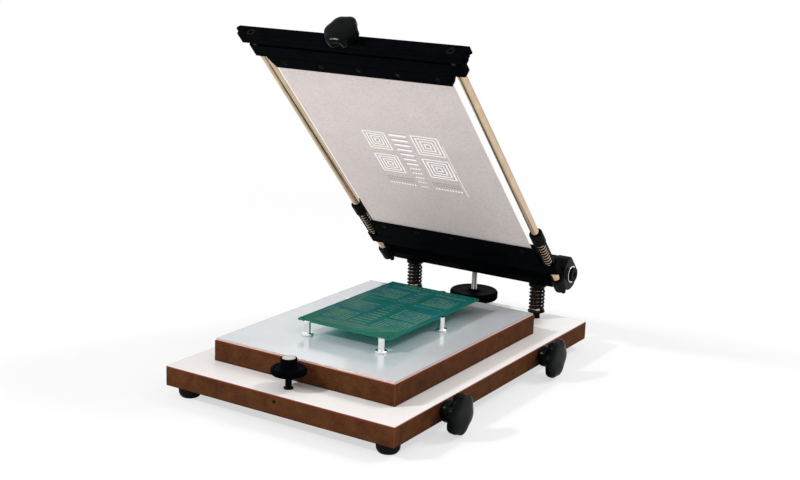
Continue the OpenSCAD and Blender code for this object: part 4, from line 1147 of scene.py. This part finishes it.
def world():
    """White to the camera and in reflections, dimmer as a light."""
    made = bpy.data.worlds.new("studio")
    bpy.context.scene.world = made
    made.use_nodes = True
    tree = made.node_tree
    background = tree.nodes["Background"]
    background.inputs["Color"].default_value = (1, 1, 1, 1)
    path = tree.nodes.new("ShaderNodeLightPath")
    seen = path.outputs["Is Camera Ray"]
    for output in ("Is Glossy Ray", "Is Transmission Ray"):
        larger = tree.nodes.new("ShaderNodeMath")
        larger.operation = "MAXIMUM"
        tree.links.new(seen, larger.inputs[0])
        tree.links.new(path.outputs[output], larger.inputs[1])
        seen = larger.outputs[0]
    strength = tree.nodes.new("ShaderNodeMapRange")
    tree.links.new(seen, strength.inputs["Value"])
    strength.inputs["To Min"].default_value = 0.54
    strength.inputs["To Max"].default_value = 1.0
    tree.links.new(strength.outputs["Result"], background.inputs["Strength"])


def lamp(name, place, aim, size, watts, colour=(1, 1, 1)):
    data = bpy.data.lights.new(name, "AREA")
    data.size = size
    data.energy = watts
    data.color = colour
    obj = bpy.data.objects.new(name, data)
    bpy.context.scene.collection.objects.link(obj)
    obj.location = place
    obj.rotation_euler = (Vector(aim) - Vector(place)).to_track_quat("-Z", "Y").to_euler()


def camera():
    """The photograph's camera, fitted to corners of the boards, the frame and the stencil."""
    azimuth, elevation, roll = (math.radians(a) for a in (31.94, 13.71, 2.02))
    back = Vector((math.sin(azimuth)*math.cos(elevation), -math.cos(azimuth)*math.cos(elevation), math.sin(elevation)))
    level = Vector((math.cos(azimuth), math.sin(azimuth), 0))
    upright = back.cross(level)
    right = level*math.cos(roll) + upright*math.sin(roll)
    up = upright*math.cos(roll) - level*math.sin(roll)
    data = bpy.data.cameras.new("camera")
    data.sensor_width = 36.0
    focal_px, image_w = 1323.74, 800
    data.lens = data.sensor_width*focal_px/image_w
    data.clip_start, data.clip_end = 0.05, 60
    obj = bpy.data.objects.new("camera", data)
    bpy.context.scene.collection.objects.link(obj)
    turn = Matrix((right, up, back)).transposed().to_4x4()
    obj.matrix_world = Matrix.Translation(metres(637.79, -1012.57, 409.83 + base_low.z)) @ turn
    bpy.context.scene.camera = obj


base_pieces()
feet()
table_pieces()
side_knobs()
front_stop()
posts()
beam()
height_drive()
hinges()
rods()
outer_bar()
clamps()
tension_drive()
stencil()
circuit_board()
pins()
finish_kept_nodes()
floor()
world()
lamp("key", (-1.14, -1.47, 1.50), (0, 0, 0.1), 0.22, 29)
lamp("side", (1.15, 0.80, 1.75), (0, 0, 0.1), 0.6, 18)
camera()

view = bpy.context.scene.view_settings
view.view_transform = "Standard"
